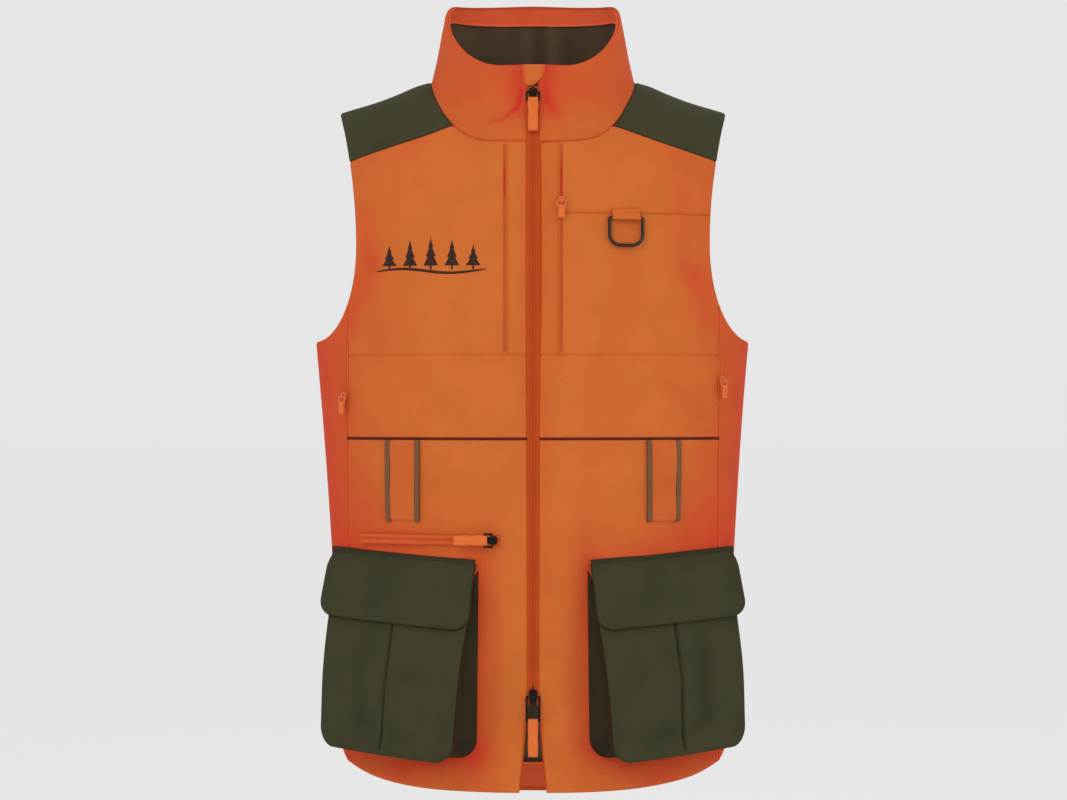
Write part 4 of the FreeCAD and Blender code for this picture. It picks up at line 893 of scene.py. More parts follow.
def collar_relief(points, normals, edges, u, v):
    around = np.minimum(edges["l"], edges["r"])
    front = smooth((-points[..., 1] - 0.045) / 0.020)
    height = np.zeros(points.shape[:2])
    for x0, z0, x1, z1, width, tall in COLLAR_FOLDS:
        height += front * fold(points[..., 0], points[..., 2], (x0, z0), (x1, z1), width, tall)
    height += 0.0016 * np.sin(around * 60 + v * 3) * smooth((around - 0.10) / 0.06)
    return height + 0.0010 * smooth((v - 0.3) / 0.5)


def collar_field(low, high):
    opening = math.asin(float(front_edge_x(np.array(0.0))) / NECK_HALF)
    return lambda u, v: (opening + (2 * math.pi - 2 * opening) * u, low + (high - low) * v)


def make_collar():
    outer = cloth("collar_outer_cloth", ORANGE, "orange_cloth", collar, collar_field(0.0, 1.0), step=0.0018,
                  relief=collar_relief, shade=collar_shade, replaces=("collar_outer",), thick=0.0018)
    def follow(low, high, share):
        """The outer cloth's relief between two heights, softened for a layer inside it."""
        return lambda points, normals, edges, u, v: collar_relief(
            points, normals, edges, u, low + (high - low) * v) * share
    cloth("collar_lining_cloth", LINING, "olive_lining", collar, collar_field(0.03, COLLAR_SHARE),
          lift=-0.0014, thick=0.001, relief=follow(0.0, COLLAR_SHARE, 0.8),
          replaces=("collar_lining",), shade=lining_shade, step=0.003)
    cloth("collar_facing_cloth", FACING, "orange_cloth", collar, collar_field(COLLAR_SHARE, 0.995),
          lift=-0.0012, thick=0.0011, relief=follow(COLLAR_SHARE, 1, 0.9), replaces=("collar_facing",),
          step=0.004)
    return outer


def collar_shade(points, normals, height):
    """Painted shade: redder where the stand turns away, towards its rim, in its creases and beside the zip
    garage.
    """
    turned = np.clip((0.95 - np.abs(normals[..., 1])) / 0.7, 0, 1)
    upper = 0.15 + 0.32 * smooth((points[..., 2] + 0.060) / 0.050)
    off = (np.abs(points[..., 0]) - 0.0130) / 0.0110
    beside = np.exp(-off ** 2) * smooth((points[..., 2] + 0.055) / 0.020) * (points[..., 1] < -0.05)
    creased = np.clip(-(height - 0.0004) / 0.0040, 0, 0.4) * (points[..., 1] < -0.05)
    return np.maximum(0.62 * turned, upper) + 0.35 * beside + creased


def lining_shade(points, normals, height):
    """Painted shade of soft dark folds down the inside of the collar."""
    x = points[..., 0]
    return 0.5 + 0.5 * np.sin(x * 150 + 2 * np.sin(x * 47)) * np.sin(x * 31 + 1)


# ---------------------------------------------------------------- linings


def make_linings():
    calm = lambda points, normals, edges, u, v: 0.7 * drape(points, normals)
    for name, side in SIDES.items():
        cloth(f"front_lining_{name}_cloth", LINING, "olive_lining", torso,
              front_field(side, lambda z: front_edge_x(z) + 0.008, lambda z: side_seam_x(z) - 0.002,
                          lambda x: front_hem_z(x) + 0.004, lambda x: front_top_z(x) - 0.004),
              lift=-0.0016, thick=0.001, relief=calm, step=0.008,
              replaces=(f"front_lining_{name}",), **PLAIN)
    cloth("back_lining_cloth", LINING, "olive_lining", torso,
          back_field(lambda x: back_hem_z(x) + 0.028, lambda x: back_top_z(x) - 0.004,
                     lambda z: side_seam_x(z) - 0.002),
          lift=-0.0016, thick=0.001, relief=calm, step=0.008, replaces=("back_lining",), **PLAIN)
    cloth("back_hem_facing_cloth", FACING, "orange_cloth", torso,
          back_field(lambda x: back_hem_z(x) + 0.0005, lambda x: back_hem_z(x) + 0.0285,
                     lambda z: side_seam_x(z) - 0.002),
          lift=-0.0014, thick=0.0012, relief=calm, step=0.006, replaces=("back_hem_facing",))


# ---------------------------------------------------------------- main zip


def zip_surface(x, z):
    return np.stack([x, front_depth(z) + 0 * x, z + 0 * x], axis=-1)


def zip_field(side, inner, outer, bottom, top):
    def field(u, v):
        z = bottom + (top - bottom) * v
        return side * (inner(z) + (outer(z) - inner(z)) * u), z
    return field


TOOTH_PITCH = 0.0013
GARAGE_LEFT, GARAGE_RIGHT, GARAGE_TALL = -0.0109, 0.0129, 0.021


def make_main_zip():
    tape_edge = lambda z: front_edge_x(z) + 0.0080
    for name, side in SIDES.items():

        def rib(points, normals, edges, u, v):
            under = np.abs(points[..., 0]) - front_edge_x(points[..., 2])
            return 0.00012 * np.sin(points[..., 2] * 2600) - 0.0032 * smooth(under / 0.0040)
        cloth(f"zip_tape_{name}_cloth", TAPE, "zip_tape", zip_surface,
              zip_field(side, vent_x, tape_edge, HEM_Z + 0.006, -0.014), lift=0.0007, thick=0.0007,
              relief=rib, step=0.0011, replaces=(f"zip_tape_{name}",), **PLAIN)
    for name, side in SIDES.items():
        def coil(points, normals, edges, u, v):
            bulge = 0.0007 * dome(u)
            wave = np.sin(points[..., 2] * 2 * math.pi / TOOTH_PITCH + 1.6 * side)
            teeth = 0.00013 * wave * (1 - np.abs(2 * u - 1))
            return bulge + teeth
        # Painted shade: the chain is darker along its middle, where the two coils meet.
        cloth(f"zip_chain_{name}", CHAIN, "zip_chain", zip_surface,
              zip_field(side, lambda z: -0.00004 + 0 * z, lambda z: 0.0025 + 0 * z,
                        ZIP_END_Z + 0.004, -0.018),
              lift=0.0010, thick=0.0006, relief=coil, step=0.00045, replaces=once("zip_chain", side), **PLAIN,
              shade=lambda points, normals, height: np.exp(-np.abs(points[..., 0]) / 0.0004))

    def garage_field(u, v):
        left = GARAGE_LEFT + 0.0045 * (1 - v) ** 5
        right = GARAGE_RIGHT * (1 - 0.98 * (1 - v) ** 2.2)
        return left + (right - left) * u, COLLAR_FRONT_TOP - GARAGE_TALL + GARAGE_TALL * v

    def puff(points, normals, edges, u, v):
        return 0.0012 * np.sin(np.clip(v, 0, 1) * 2.8) * (1 - (2 * u - 1) ** 2)

    # Painted shade, redder along both sides of the garage.
    def garage_edge_shade(points, normals, height):
        return 0.12 + 0.5 * smooth((np.abs(points[..., 0] - 0.001) - 0.0070) / 0.0040)
    return cloth("zip_garage_cloth", ORANGE, "orange_cloth", zip_surface, garage_field, lift=0.0040,
                 thick=0.0018, relief=puff, step=0.0010, replaces=("zip_garage",), roll_depth=0.0008,
                 shade=garage_edge_shade)


# ---------------------------------------------------------------- trim


def make_trim():
    """Piping, webbing strips and the lips of the hidden zips; returns what is stitched later."""
    made = {}

    def over(points, normals, edges, u, v):
        return 0.0013 * dome(v) + drape(points, normals)

    for name, side in SIDES.items():
        cloth(f"piping_{name}", PIPING, "dark_piping", torso,
              front_field(side, front_edge_x, FRONT_SEAM, PIPING_Z - 0.0013, PIPING_Z + 0.0013),
              lift=0.0010, thick=0.0012, relief=over, step=0.0022,
              replaces=once("piping", side), **PLAIN)
        low = PIPING_Z - 0.0015 - STRIP_TALL
        inner, outer = STRIP_X - STRIP_HALF, STRIP_X + STRIP_HALF

        def ribs(points, normals, edges, u, v):
            rib = 0.00022 * np.cos(u * 2 * math.pi * 9)
            sag = 0.0010 * np.sin(v * math.pi) + 0.0005 * np.sin(v * 9 + side)
            return drape(points, normals) + rib + sag
        made[name] = cloth(f"webbing_strip_{name}_cloth", RIBBED, "orange_cloth", torso,
                           front_field(side, inner, outer, low, PIPING_Z - 0.0013), lift=0.0036, thick=0.0012,
                           relief=ribs, step=0.0010, rolls="bt", fine=False,
                           replaces=(f"webbing_strip_{name}",),
                           shade=lambda points, normals, height: 0.08 + 0 * height)
        for tag, start in (("inner", inner - 0.0047), ("outer", outer + 0.0001)):
            replaced = (f"strip_bindings_{name}",) if tag == "inner" else ()

            def hem(points, normals, edges, u, v):
                round_edge = 0.0009 * dome(u)
                return drape(points, normals) + round_edge + 0.0011 * np.sin(v * math.pi)
            cloth(f"strip_binding_{tag}_{name}", BINDING, "binding", torso,
                  front_field(side, start, start + 0.0046, low - 0.001, PIPING_Z - 0.0013), lift=0.0040,
                  thick=0.0020, relief=hem, rolls="b", step=0.0008, fine=False, replaces=replaced)
        for label, middle, half, bottom, top in (("chest", 0.028, 0.0011, CHEST_SEAM_Z + 0.003, -0.072),
                                                 ("side", FRONT_SEAM, 0.0018, -0.332, -0.268)):
            def lips(points, normals, edges, u, v):
                across = np.abs(2 * u - 1)
                return drape(points, normals) + 0.0011 * bell(across - 0.62, 0.25) \
                    - 0.0010 * bell(across, 0.16)

            # Painted shade: redder in the lips' groove, and deep red down the open mouth of the chest slit.
            def opening(points, normals, height):
                slit = smooth((points[..., 2] + 0.134) / 0.020) * smooth((-0.082 - points[..., 2]) / 0.020)
                return 0.12 + 0.25 * (height < 0.0002) + 0.85 * slit
            cloth(f"{label}_zip_{name}", ORANGE, "orange_cloth", torso,
                  front_field(side, middle - half, middle + half, bottom, top), lift=0.0011, thick=0.0010,
                  relief=lips, step=0.0004, replaces=once(f"{label}_zip_tapes", side), shade=opening, **PLAIN)
    return made


def make_chest_seam():
    """Lapped seam across the wearer's left chest, from the zip opening to the armhole."""
    def lap(points, normals, edges, u, v):
        across = np.abs(2 * v - 1)
        return drape(points, normals) + 0.0007 * bell(across - 0.62, 0.25) \
            - 0.0010 * bell(across, 0.20)
    # Painted shade in the groove of the lap.
    cloth("chest_seam_left", ORANGE, "orange_cloth", torso,
          front_field(LEFT, 0.031, lambda z: side_seam_x(z) - 0.001, CHEST_LAP_Z - 0.0007,
                      CHEST_LAP_Z + 0.0007),
          lift=0.0011, thick=0.0008, relief=lap, step=0.0003,
          shade=lambda points, normals, height: 0.12 + 0.25 * (height < 0.0002), **PLAIN)


# ---------------------------------------------------------------- bellows pockets


def pocket_at(across, z, depth):
    base = np.append(POCKET_INNER, 0)
    lift = z + SLANT * (across - 0.5)
    return base + ALONG * (POCKET_WIDTH * across)[..., None] + OUTWARD * (depth + 0 * across)[..., None] \
        + np.stack([0 * lift, 0 * lift, lift], axis=-1)


def body_depth(across, z):
    """Depth of the vest's surface in the pocket's own plane."""
    across, z = np.broadcast_arrays(across, z)
    target = pocket_at(across, z, np.zeros(across.shape))
    low, high = np.full(across.shape, -0.06), np.full(across.shape, 0.06)
    for _ in range(28):
        middle = (low + high) / 2
        probe = target + OUTWARD * middle[..., None]
        angle = np.arctan2(probe[..., 0], SIDE_PLANE - probe[..., 1])
        inside = np.hypot(probe[..., 0], probe[..., 1] - SIDE_PLANE) < plan_radius(angle, probe[..., 2])
        low, high = np.where(inside, middle, low), np.where(inside, high, middle)
    return (low + high) / 2


# Depth at the mouth and gain to the bottom, along the inner and the outer edge
POCKET_DEPTHS = [(0.004, 0.050), (0.006, 0.033)]
POCKET_ROUND, POCKET_CROWN, POCKET_SAG = 0.007, 0.007, 0.004


def pocket_depth(across, drop):
    """Depth of the bellows front: deep at its low inner corner, shallow along the outer edge."""
    inner, outer = [mouth + gain * drop - POCKET_ROUND * drop ** 2 for mouth, gain in POCKET_DEPTHS]
    crown = POCKET_CROWN * 4 * across * (1 - across) + POCKET_SAG * np.sin(math.pi * drop) ** 2
    return inner + (outer - inner) * across + crown


def front_of_pocket(across, drop):
    return pocket_at(across, POCKET_TOP + (POCKET_BOTTOM - POCKET_TOP) * drop, pocket_depth(across, drop))


POCKET_TALL = POCKET_TOP - POCKET_BOTTOM
CORNER = 0.020


def rounded_field(width, tall, corner):
    """Unit square with its two low corners rounded; u across, v up."""
    def field(u, v):
        rise = (1 - np.cos(np.pi * v)) / 2 * 0.35 + v * 0.65
        low = np.clip(1 - rise * tall / corner, 0, 1)
        inset = corner / width * (1 - np.sqrt(np.clip(1 - low * low, 0, 1)))
        return inset + (1 - 2 * inset) * u, 1 - rise
    return field


# Folds of the pocket front: start x, z, end x, z, half width, height
POCKET_FOLDS = [
    (0.095, -0.64, 0.150, -0.600, 0.010, 0.0016),
    (0.110, -0.665, 0.175, -0.640, 0.010, -0.0014),
    (0.090, -0.56, 0.098, -0.655, 0.008, 0.0015),
    (0.165, -0.555, 0.180, -0.660, 0.009, -0.0014),
    (0.185, -0.60, 0.195, -0.670, 0.008, 0.0016),
]


def pocket_front_relief(side):
    open_pleat = 1.5 if side == LEFT else 1.0

    def relief(points, normals, edges, u, v):
        rim = np.minimum(np.minimum(edges["l"], edges["r"]), edges["b"])
        height = 0.0007 * bell(rim - 0.0016, 0.0011) - 0.0005 * bell(rim - 0.0034, 0.0008)
        middle = edges["l"] / (edges["l"] + edges["r"]) - 0.5
        off = middle * POCKET_WIDTH + 0.0012 * np.sin(v * 5 + side)
        held = smooth((v - 0.02) / 0.05)
        height -= held * 0.0032 * np.exp(-(np.abs(off) / (0.0011 * open_pleat)) ** 1.5)
        height += held * 0.0010 * bell(np.abs(off) - 0.004, 0.003)
        x, z = points[..., 0] * side, points[..., 2]
        for x0, z0, x1, z1, width, tall in POCKET_FOLDS:
            height += fold(x, z, (x0, z0), (x1, z1), width, tall * (1.0 if side == LEFT else 0.8))
        return height + 0.0004 * np.sin(x * 95 + side) * np.sin(z * 60)
    return relief


def rim_path(travel):
    """Across and drop along the pocket outline: down the inner side, round, along and up."""
    straight = POCKET_TALL - CORNER
    arc = math.pi / 2 * CORNER
    flat = POCKET_WIDTH - 2 * CORNER
    total = 2 * straight + 2 * arc + flat
    gone = np.clip(travel, 0, 1) * total
    back = total - gone
    mirror = gone > total / 2
    near = np.where(mirror, back, gone)
    turn = np.clip((near - straight) / CORNER, 0, math.pi / 2)
    across = CORNER * (1 - np.cos(turn)) + np.clip(near - straight - arc, 0, None)
    drop = np.clip(near, 0, straight) + CORNER * np.sin(turn)
    across = across / POCKET_WIDTH
    return np.where(mirror, 1 - across, across), drop / POCKET_TALL


def gusset(travel, rise):
    across, drop = rim_path(travel)
    z = POCKET_TOP + (POCKET_BOTTOM - POCKET_TOP) * drop
    low_z = z + 0.014 * (1 - smooth(drop / 0.15))
    foot = pocket_at(across, low_z, body_depth(across, low_z) + 0.0015)
    head = front_of_pocket(across, drop) - OUTWARD * 0.0012
    halfway = np.full(across.shape, (POCKET_TOP + POCKET_BOTTOM) / 2)
    centre = pocket_at(np.full(across.shape, 0.5), halfway, 0.010)
    inward = unit(centre - (foot + head) / 2)
    reach = np.linalg.norm(head - foot, axis=-1, keepdims=True)
    bow = np.sin(math.pi * np.clip(rise, 0, 1))[..., None]
    crease = bell(np.clip(rise, 0, 1) - 0.5, 0.10)[..., None]
    depth = 0.0035 * bow * np.minimum(reach / 0.03, 1) + 0.0030 * crease * np.minimum(reach / 0.03, 1)
    return foot + (head - foot) * rise[..., None] + inward * depth


def gusset_relief(points, normals, edges, u, v):
    ruck = np.sin(u * 83 + 4 * np.sin(u * 13)) * np.sin(v * 3.1)
    return 0.0013 * ruck * (0.5 + 0.5 * np.sin(u * 21 + 1))


FLAP_WIDTH, FLAP_TALL, FLAP_CORNER, FLAP_TOP_Z = 0.170, 0.064, 0.016, -0.483
FLAP_SPREAD, FLAP_SEAM_Z = 1.028, -0.480


def flap_surface(across, drop):
    """Flap of the left pocket: out of its seam, over the mouth and down the front."""
    wide = across * (FLAP_SPREAD + 0.034 * drop) - 0.025 * drop * (1 - across)
    z = FLAP_TOP_Z - FLAP_TALL * drop
    held = np.clip(wide, 0, 1)
    below = np.clip((POCKET_TOP - z) / POCKET_TALL, -0.05, 1)
    seam = np.maximum(body_depth(held, FLAP_SEAM_Z + 0 * held), -0.001) + 0.0026
    ahead = pocket_depth(held, below) + 0.0042
    share = smooth(drop * FLAP_TALL / FLAP_CORNER)
    depth = seam + (ahead - seam) * share + 0.0012 * np.sin(drop * math.pi)
    return pocket_at(wide, z, depth)


def flap_band(across, rise):
    """Sewn-down strip above the flap, from which the flap turns."""
    wide, z = across * FLAP_SPREAD, -0.4842 + 0.0057 * rise
    depth = np.maximum(body_depth(np.clip(wide, 0, 1), z), -0.001) + 0.0020
    return pocket_at(wide, z, depth)


def flap_relief(side):
    def relief(points, normals, edges, u, v):
        rim = np.minimum(np.minimum(edges["l"], edges["r"]), edges["b"])
        height = 0.0006 * bell(rim - 0.0018, 0.0013) - 0.0005 * bell(rim - 0.0040, 0.0008)
        height -= 0.0006 * bell(edges["t"] - 0.0055, 0.0008) + 0.0009 * bell(edges["t"], 0.004)
        x, z = points[..., 0] * side, points[..., 2]
        height += 0.0006 * np.sin(x * 62 + side) * np.sin((z + 0.48) * 48)
        height += fold(x, z, (0.100, -0.490), (0.092, -0.545), 0.009, 0.0011)
        height += fold(x, z, (0.150, -0.488), (0.165, -0.535), 0.010, -0.0010)
        return height
    return relief


def make_pockets():
    made = {}
    for name, side in SIDES.items():
        made["front", name] = cloth(
            f"pocket_front_{name}_cloth", OLIVE, "olive_cloth", flipped_surface(front_of_pocket),
            flipped_field(rounded_field(POCKET_WIDTH, POCKET_TALL, CORNER)), mirror=side, lift=0.0010,
            thick=0.0018, relief=pocket_front_relief(side), rolls="lrb", step=0.0013, shade=olive_shade,
            replaces=(f"pocket_front_{name}",))
        cloth(f"pocket_gusset_{name}_cloth", GUSSET, "olive_cloth", gusset, lambda u, v: (u, v), mirror=side,
              lift=0.0, thick=0.0012, relief=gusset_relief, step=0.0024, shade=olive_shade,
              replaces=(f"pocket_gusset_{name}",), **PLAIN)
        cloth(f"flap_band_{name}", OLIVE, "olive_cloth", flap_band, lambda u, v: (u, v), mirror=side,
              thick=0.0014, rolls="t", step=0.0012, fine=False,
              shade=lambda points, normals, height: 0.5 + 0 * height)
        made["flap", name] = cloth(
            f"pocket_flap_{name}_cloth", OLIVE, "olive_cloth", flipped_surface(flap_surface),
            flipped_field(rounded_field(FLAP_WIDTH, FLAP_TALL, FLAP_CORNER)), mirror=side, lift=0.0010,
            thick=0.0020, relief=flap_relief(side), rolls="lrb", step=0.0022, shade=olive_shade,
            body=f"flap_{name}",
            replaces=(f"pocket_flap_{name}",))
    return made


def flipped_surface(surface):
    """Same surface with its second parameter counted upward, so that normals point outward."""
    return lambda across, rise: surface(across, -rise)


def flipped_field(field):
    def inside(u, v):
        across, drop = field(u, v)
        return across, -drop
    return inside


# ---------------------------------------------------------------- zip pulls, sliders and the D-ring


def joint(name):
    return next(item for item in frame["joints"] if item["name"] == name)


def hardware_axes(joint_name, node):
    """Pivot, across, hang and outward directions of a pull, from its joint and its CAD node."""
    pivot = np.array(joint(joint_name)["pos_m"])
    across = -unit(np.array(joint(joint_name)["axis"], float))
    mesh = frame["nodes"][node].data
    middle = np.mean([vertex.co[:] for vertex in mesh.vertices], axis=0)
    hang = middle - pivot
    hang = unit(hang - across * hang.dot(across))
    return pivot, across, hang, unit(np.cross(across, -hang))


def swept_sheet(path, widths, origin, axes, thick):
    """Closed strip: path of (hang, outward) points, its width at each, in the given axes."""
    across, hang, out = axes
    path = np.asarray(path, float)
    run = np.gradient(path, axis=0)
    side = unit(np.stack([run[:, 1], -run[:, 0]], axis=1))
    profile = [(-1.0, 0.0), (-0.93, 0.8), (-0.7, 1.0), (-0.35, 1.02), (0.0, 1.0), (0.35, 1.02), (0.7, 1.0),
               (0.93, 0.8), (1.0, 0.0), (0.93, -0.8), (0.7, -1.0), (0.0, -1.0), (-0.7, -1.0), (-0.93, -0.8)]
    vertices, uv = [], []
    length = 0.0
    for k, (point, away, width) in enumerate(zip(path, side, widths)):
        if k:
            length += float(np.linalg.norm(point - path[k - 1]))
        for share, rise in profile:
            spot = point + away * rise * thick / 2
            vertices.append(origin + across * share * width / 2 + hang * spot[0] + out * spot[1])
            uv.append((share * width / 2, length))
    return vertices, tube_faces(0, len(path), len(profile)), uv


def recalculated(piece):
    mesh = bmesh.new()
    mesh.from_mesh(piece.data)
    bmesh.ops.recalc_face_normals(mesh, faces=mesh.faces)
    mesh.to_mesh(piece.data)
    mesh.free()
    return piece


def make_pull_tab(stem, joint_name, body, bar, wire, width, length, thick):
    """Cloth tab looped round the bracket's low bar: back layer, loop, front layer, sewn end."""
    pivot, across, hang, out = hardware_axes(joint_name, f"{stem}_tab")
    loop = wire + thick * 0.32
    turns = np.linspace(-0.5 * math.pi, -1.5 * math.pi, 11)
    back = [(bar + share, -thick * 0.26 - (loop - thick * 0.26) * math.exp(-share / 0.0022))
            for share in np.linspace(length, 0.0012, 16)]
    round_bar = [(bar + loop * math.cos(turn), loop * math.sin(turn)) for turn in turns]
    fore = [(bar + share, thick * 0.26 + (loop - thick * 0.26) * math.exp(-share / 0.0022))
            for share in np.linspace(0.0012, length, 16)]
    path = back + round_bar + fore
    widths = [width * (1 - 0.05 * math.sin(k * 0.8)) for k in range(len(path))]
    vertices, faces, uv = swept_sheet(path, widths, pivot, (across, hang, out), thick * 0.5)
    piece = make_object(f"{stem}_tab_cloth", vertices, faces, uv)
    recalculated(piece)
    finish_piece(piece, PULL, body, (f"{stem}_tab",))
    face = lambda x, y: pivot + across * x + hang * (bar + y) + out * (thick * 0.50)
    inset = width / 2 - 0.0010
    near, far = 0.006 if length > 0.02 else 0.004, length - 0.0012
    outline = [(-inset, near), (inset, near), (inset, far), (-inset, far), (-inset, near)]
    runs = []
    for (x0, y0), (x1, y1) in zip(outline, outline[1:]):
        line = np.array([face(x0 + (x1 - x0) * t, y0 + (y1 - y0) * t) for t in np.linspace(0, 1, 8)])
        runs.append((line, np.tile(out, (8, 1))))
    stitches(f"{stem}_tab_thread", runs, ORANGE_THREAD, body, pitch=0.0017, length=0.0012,
             radius=0.00016)


def make_slider(stem, joint_name, body, coating, wide, tall, thick, skirt, eye_height, bridge):
    """Die-cast slider: shouldered body with flanges and an arched bridge over the pull's bar."""
    pivot, across, hang, out = hardware_axes(joint_name, f"{stem}_tab")
    up = -hang
    origin = pivot - out * eye_height
    outline = []
    for turn in np.linspace(0, 2 * math.pi, 48, endpoint=False):
        c, s = math.cos(turn), math.sin(turn)
        x = wide / 2 * np.sign(c) * abs(c) ** 0.45 * (0.80 + 0.20 * smooth(s + 0.4))
        outline.append((float(x), tall / 2 * float(np.sign(s)) * abs(s) ** 0.6))
    outline = np.array(outline)
    layers = [(1.0, -skirt), (1.0, thick * 0.45), (0.96, thick * 0.75), (0.88, thick * 0.94), (0.74, thick)]
    vertices = []
    count = len(outline)
    for scale, rise in layers:
        for x, y in outline * scale:
            vertices.append(origin + across * x + up * y + out * rise)
    faces = tube_faces(0, len(layers), count, start_cap=False)
    rim = len(vertices)
    for x, y in outline:
        vertices.append(origin + across * (x * 0.80) + up * y + out * (-skirt))
    for x, y in outline:
        vertices.append(origin + across * (x * 0.80) + up * y + out * (-0.0001))
    for j in range(count):
        after = (j + 1) % count
        faces.append((j, rim + j, rim + after, after))
        faces.append((rim + j, rim + count + j, rim + count + after, rim + after))
    faces.append(tuple(rim + count + j for j in range(count)))
    base = len(vertices)
    arch = []
    for turn in np.linspace(0, math.pi, 17):
        rise = thick * 0.55 + math.sin(turn) ** 0.7 * (bridge * 0.88 + thick * 0.4)
        arch.append((math.cos(turn) * tall * 0.36, rise))
    arch = np.array(arch)
    ring = 8
    for k, (y, rise) in enumerate(arch):
        run = unit(np.array(arch[min(k + 1, len(arch) - 1)]) - np.array(arch[max(k - 1, 0)]))
        away = np.array([-run[1], run[0]])
        for j in range(ring):
            turn = 2 * math.pi * j / ring
            x = math.cos(turn) * bridge * 0.30
            spot = np.array([y, rise]) + away * math.sin(turn) * bridge * 0.13
            vertices.append(origin + across * x + up * spot[0] + out * spot[1])
    faces += tube_faces(base, len(arch), ring)
    piece = recalculated(make_object(f"{stem}_slider_body", vertices, faces))
    bevel = piece.modifiers.new("edge", "BEVEL")
    bevel.width, bevel.segments, bevel.limit_method = 0.00018, 2, "ANGLE"
    finish_piece(piece, coating, body,
                 (f"{stem}_slider",))


# Zip hardware by size: drop of the pull's bar, wire radius, tab width and thickness, then the slider's
# width, height, thickness, skirt, eye height and bridge height
SIZES = {
    "main": (0.007, 0.0011, 0.0100, 0.0024, 0.009, 0.010, 0.0019, 0.0012, 0.0040, 0.0042),
    "lower": (0.024, 0.0011, 0.0100, 0.0024, 0.009, 0.014, 0.0019, 0.0012, 0.0040, 0.0042),
    "small": (0.0062, 0.00075, 0.0064, 0.0018, 0.0064, 0.009, 0.0015, 0.0008, 0.0035, 0.0032),
}
PULLS = [
    ("main_zip", "main_pull_swing", "main_slider", "main_pull", "main", 0.031),
    ("lower_zip", "lower_pull_swing", "lower_slider", "lower_pull", "lower", 0.035),
    ("chest_zip", "chest_pull_swing", "chest_slider", "chest_pull", "small", 0.011),
    ("waist_zip", "waist_pull_swing", "waist_slider", "waist_pull", "main", 0.031),
    ("side_zip_right", "side_pull_swing_right", "side_slider_right", "side_pull_right", "small", 0.011),
    ("side_zip_left", "side_pull_swing_left", "side_slider_left", "side_pull_left", "small", 0.011),
]


def make_hardware():
    for stem, swing, slider, pull, kind, length in PULLS:
        bar, wire, tab_width, tab_thick, wide, tall, thick, skirt, eye, bridge = SIZES[kind]
        coating = ORANGE_METAL if kind == "small" else BLACK
        make_pull_tab(stem, swing, pull, bar, wire, tab_width, length, tab_thick)
        make_slider(stem, swing, slider, coating, wide, tall, thick, skirt, eye, bridge)
        bracket = frame["nodes"][f"{stem}_bracket"]
        bracket.data.materials.clear()
        bracket.data.materials.append(coating)
    ring = frame["nodes"]["d_ring"]
    ring.data.materials.clear()
    ring.data.materials.append(GUNMETAL)


def make_ring_tab():
    """Folded cloth tab that holds the D-ring's bar against the chest."""
    pivot, across, hang, out = hardware_axes("d_ring_swing", "d_ring")
    rest = 0.0028
    bar = 0.0027
    lead = [(-0.0098, -rest + 0.0002), (-0.0084, -rest + 0.0006), (-0.0068, -rest + 0.0016),
            (-0.0048, 0.0002), (-0.0030, 0.0016)]
    turns = np.linspace(0.70 * math.pi, -0.62 * math.pi, 12)
    loop = [(bar * -math.cos(turn), bar * math.sin(turn)) for turn in turns]
    path = lead + loop
    widths = [0.0285 + 0.0004 * math.sin(k * 1.3) for k in range(len(path))]
    vertices, faces, uv = swept_sheet(path, widths, pivot, (across, hang, out), 0.0012)
    piece = recalculated(make_object("d_ring_tab_cloth", vertices, faces, uv,
                                     tint=np.full(len(vertices), 0.08)))
    finish_piece(piece, ORANGE, "vest", ("d_ring_tab",))
    line = np.array([pivot + across * x + hang * -0.0062 + out * 0.0001
                     for x in np.linspace(-0.0135, 0.0135, 12)])
    stitches("d_ring_tab_thread", [(line, np.tile(out, (12, 1)))], ORANGE_THREAD)


# ---------------------------------------------------------------- waist pocket zip


def make_waist_zip():
    """Welt and zip of the waist pocket, on the vertical cylinder its slider turns about."""
    centre = np.array(joint("waist_zip_travel")["pos_m"])
    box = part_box("waist_zip_tape")
    low, high = np.array(box[0]), np.array(box[1])
    mesh = frame["nodes"]["waist_zip_tape"].data
    spots = np.array([vertex.co[:] for vertex in mesh.vertices])
    turn = np.arctan2(spots[:, 0] - centre[0], centre[1] - spots[:, 1])
    reach = np.hypot(spots[:, 0] - centre[0], spots[:, 1] - centre[1])
    start, end, radius = turn.min(), turn.max(), reach.max()

    def surface(angle, z):
        x, y = centre[0] + radius * np.sin(angle), centre[1] - radius * np.cos(angle)
        return np.stack([x, y, z + 0 * angle], axis=-1)

    def field(u, v):
        return start + (end - start) * u, low[2] + (high[2] - low[2]) * v

    def welt(points, normals, edges, u, v):
        lips = 0.0008 * bell(np.abs(2 * v - 1) - 0.55, 0.22)
        return lips - 0.0009 * bell(2 * v - 1, 0.10)
    # Painted shade: the welt redder throughout, and more so in its groove.
    cloth("waist_zip_tape_cloth", ORANGE, "zip_tape", surface, field, lift=-0.0004, thick=0.0012, relief=welt,
          step=0.0009, replaces=("waist_zip_tape",),
          shade=lambda points, normals, height: 0.40 + 0.45 * (height < 0.0001), **PLAIN)
    z = (low[2] + high[2]) / 2
    lines = []
    first, last, above, below = start - 0.004, end + 0.060, z + 0.0066, z - 0.0066
    corners = [(first, above), (last, above), (last, below), (first, below), (first, above)]
    for (u0, z0), (u1, z1) in zip(corners, corners[1:]):
        share = np.linspace(0, 1, 60)
        angle = u0 + (u1 - u0) * share
        place = surface(angle, z0 + (z1 - z0) * share)
        lines.append(on_front(place[:, 0], place[:, 2]))
    return lines


def on_front(x, z, lift=0.0011):
    """Points on the draped front at these places, with their normals."""
    angle = np.sign(x) * angle_at(x, z)
    points, normals = torso(angle, z), normals_of(torso, angle, z)
    return points + normals * (lift + drape(points, normals))[:, None], normals


# ---------------------------------------------------------------- embroidery and stitches


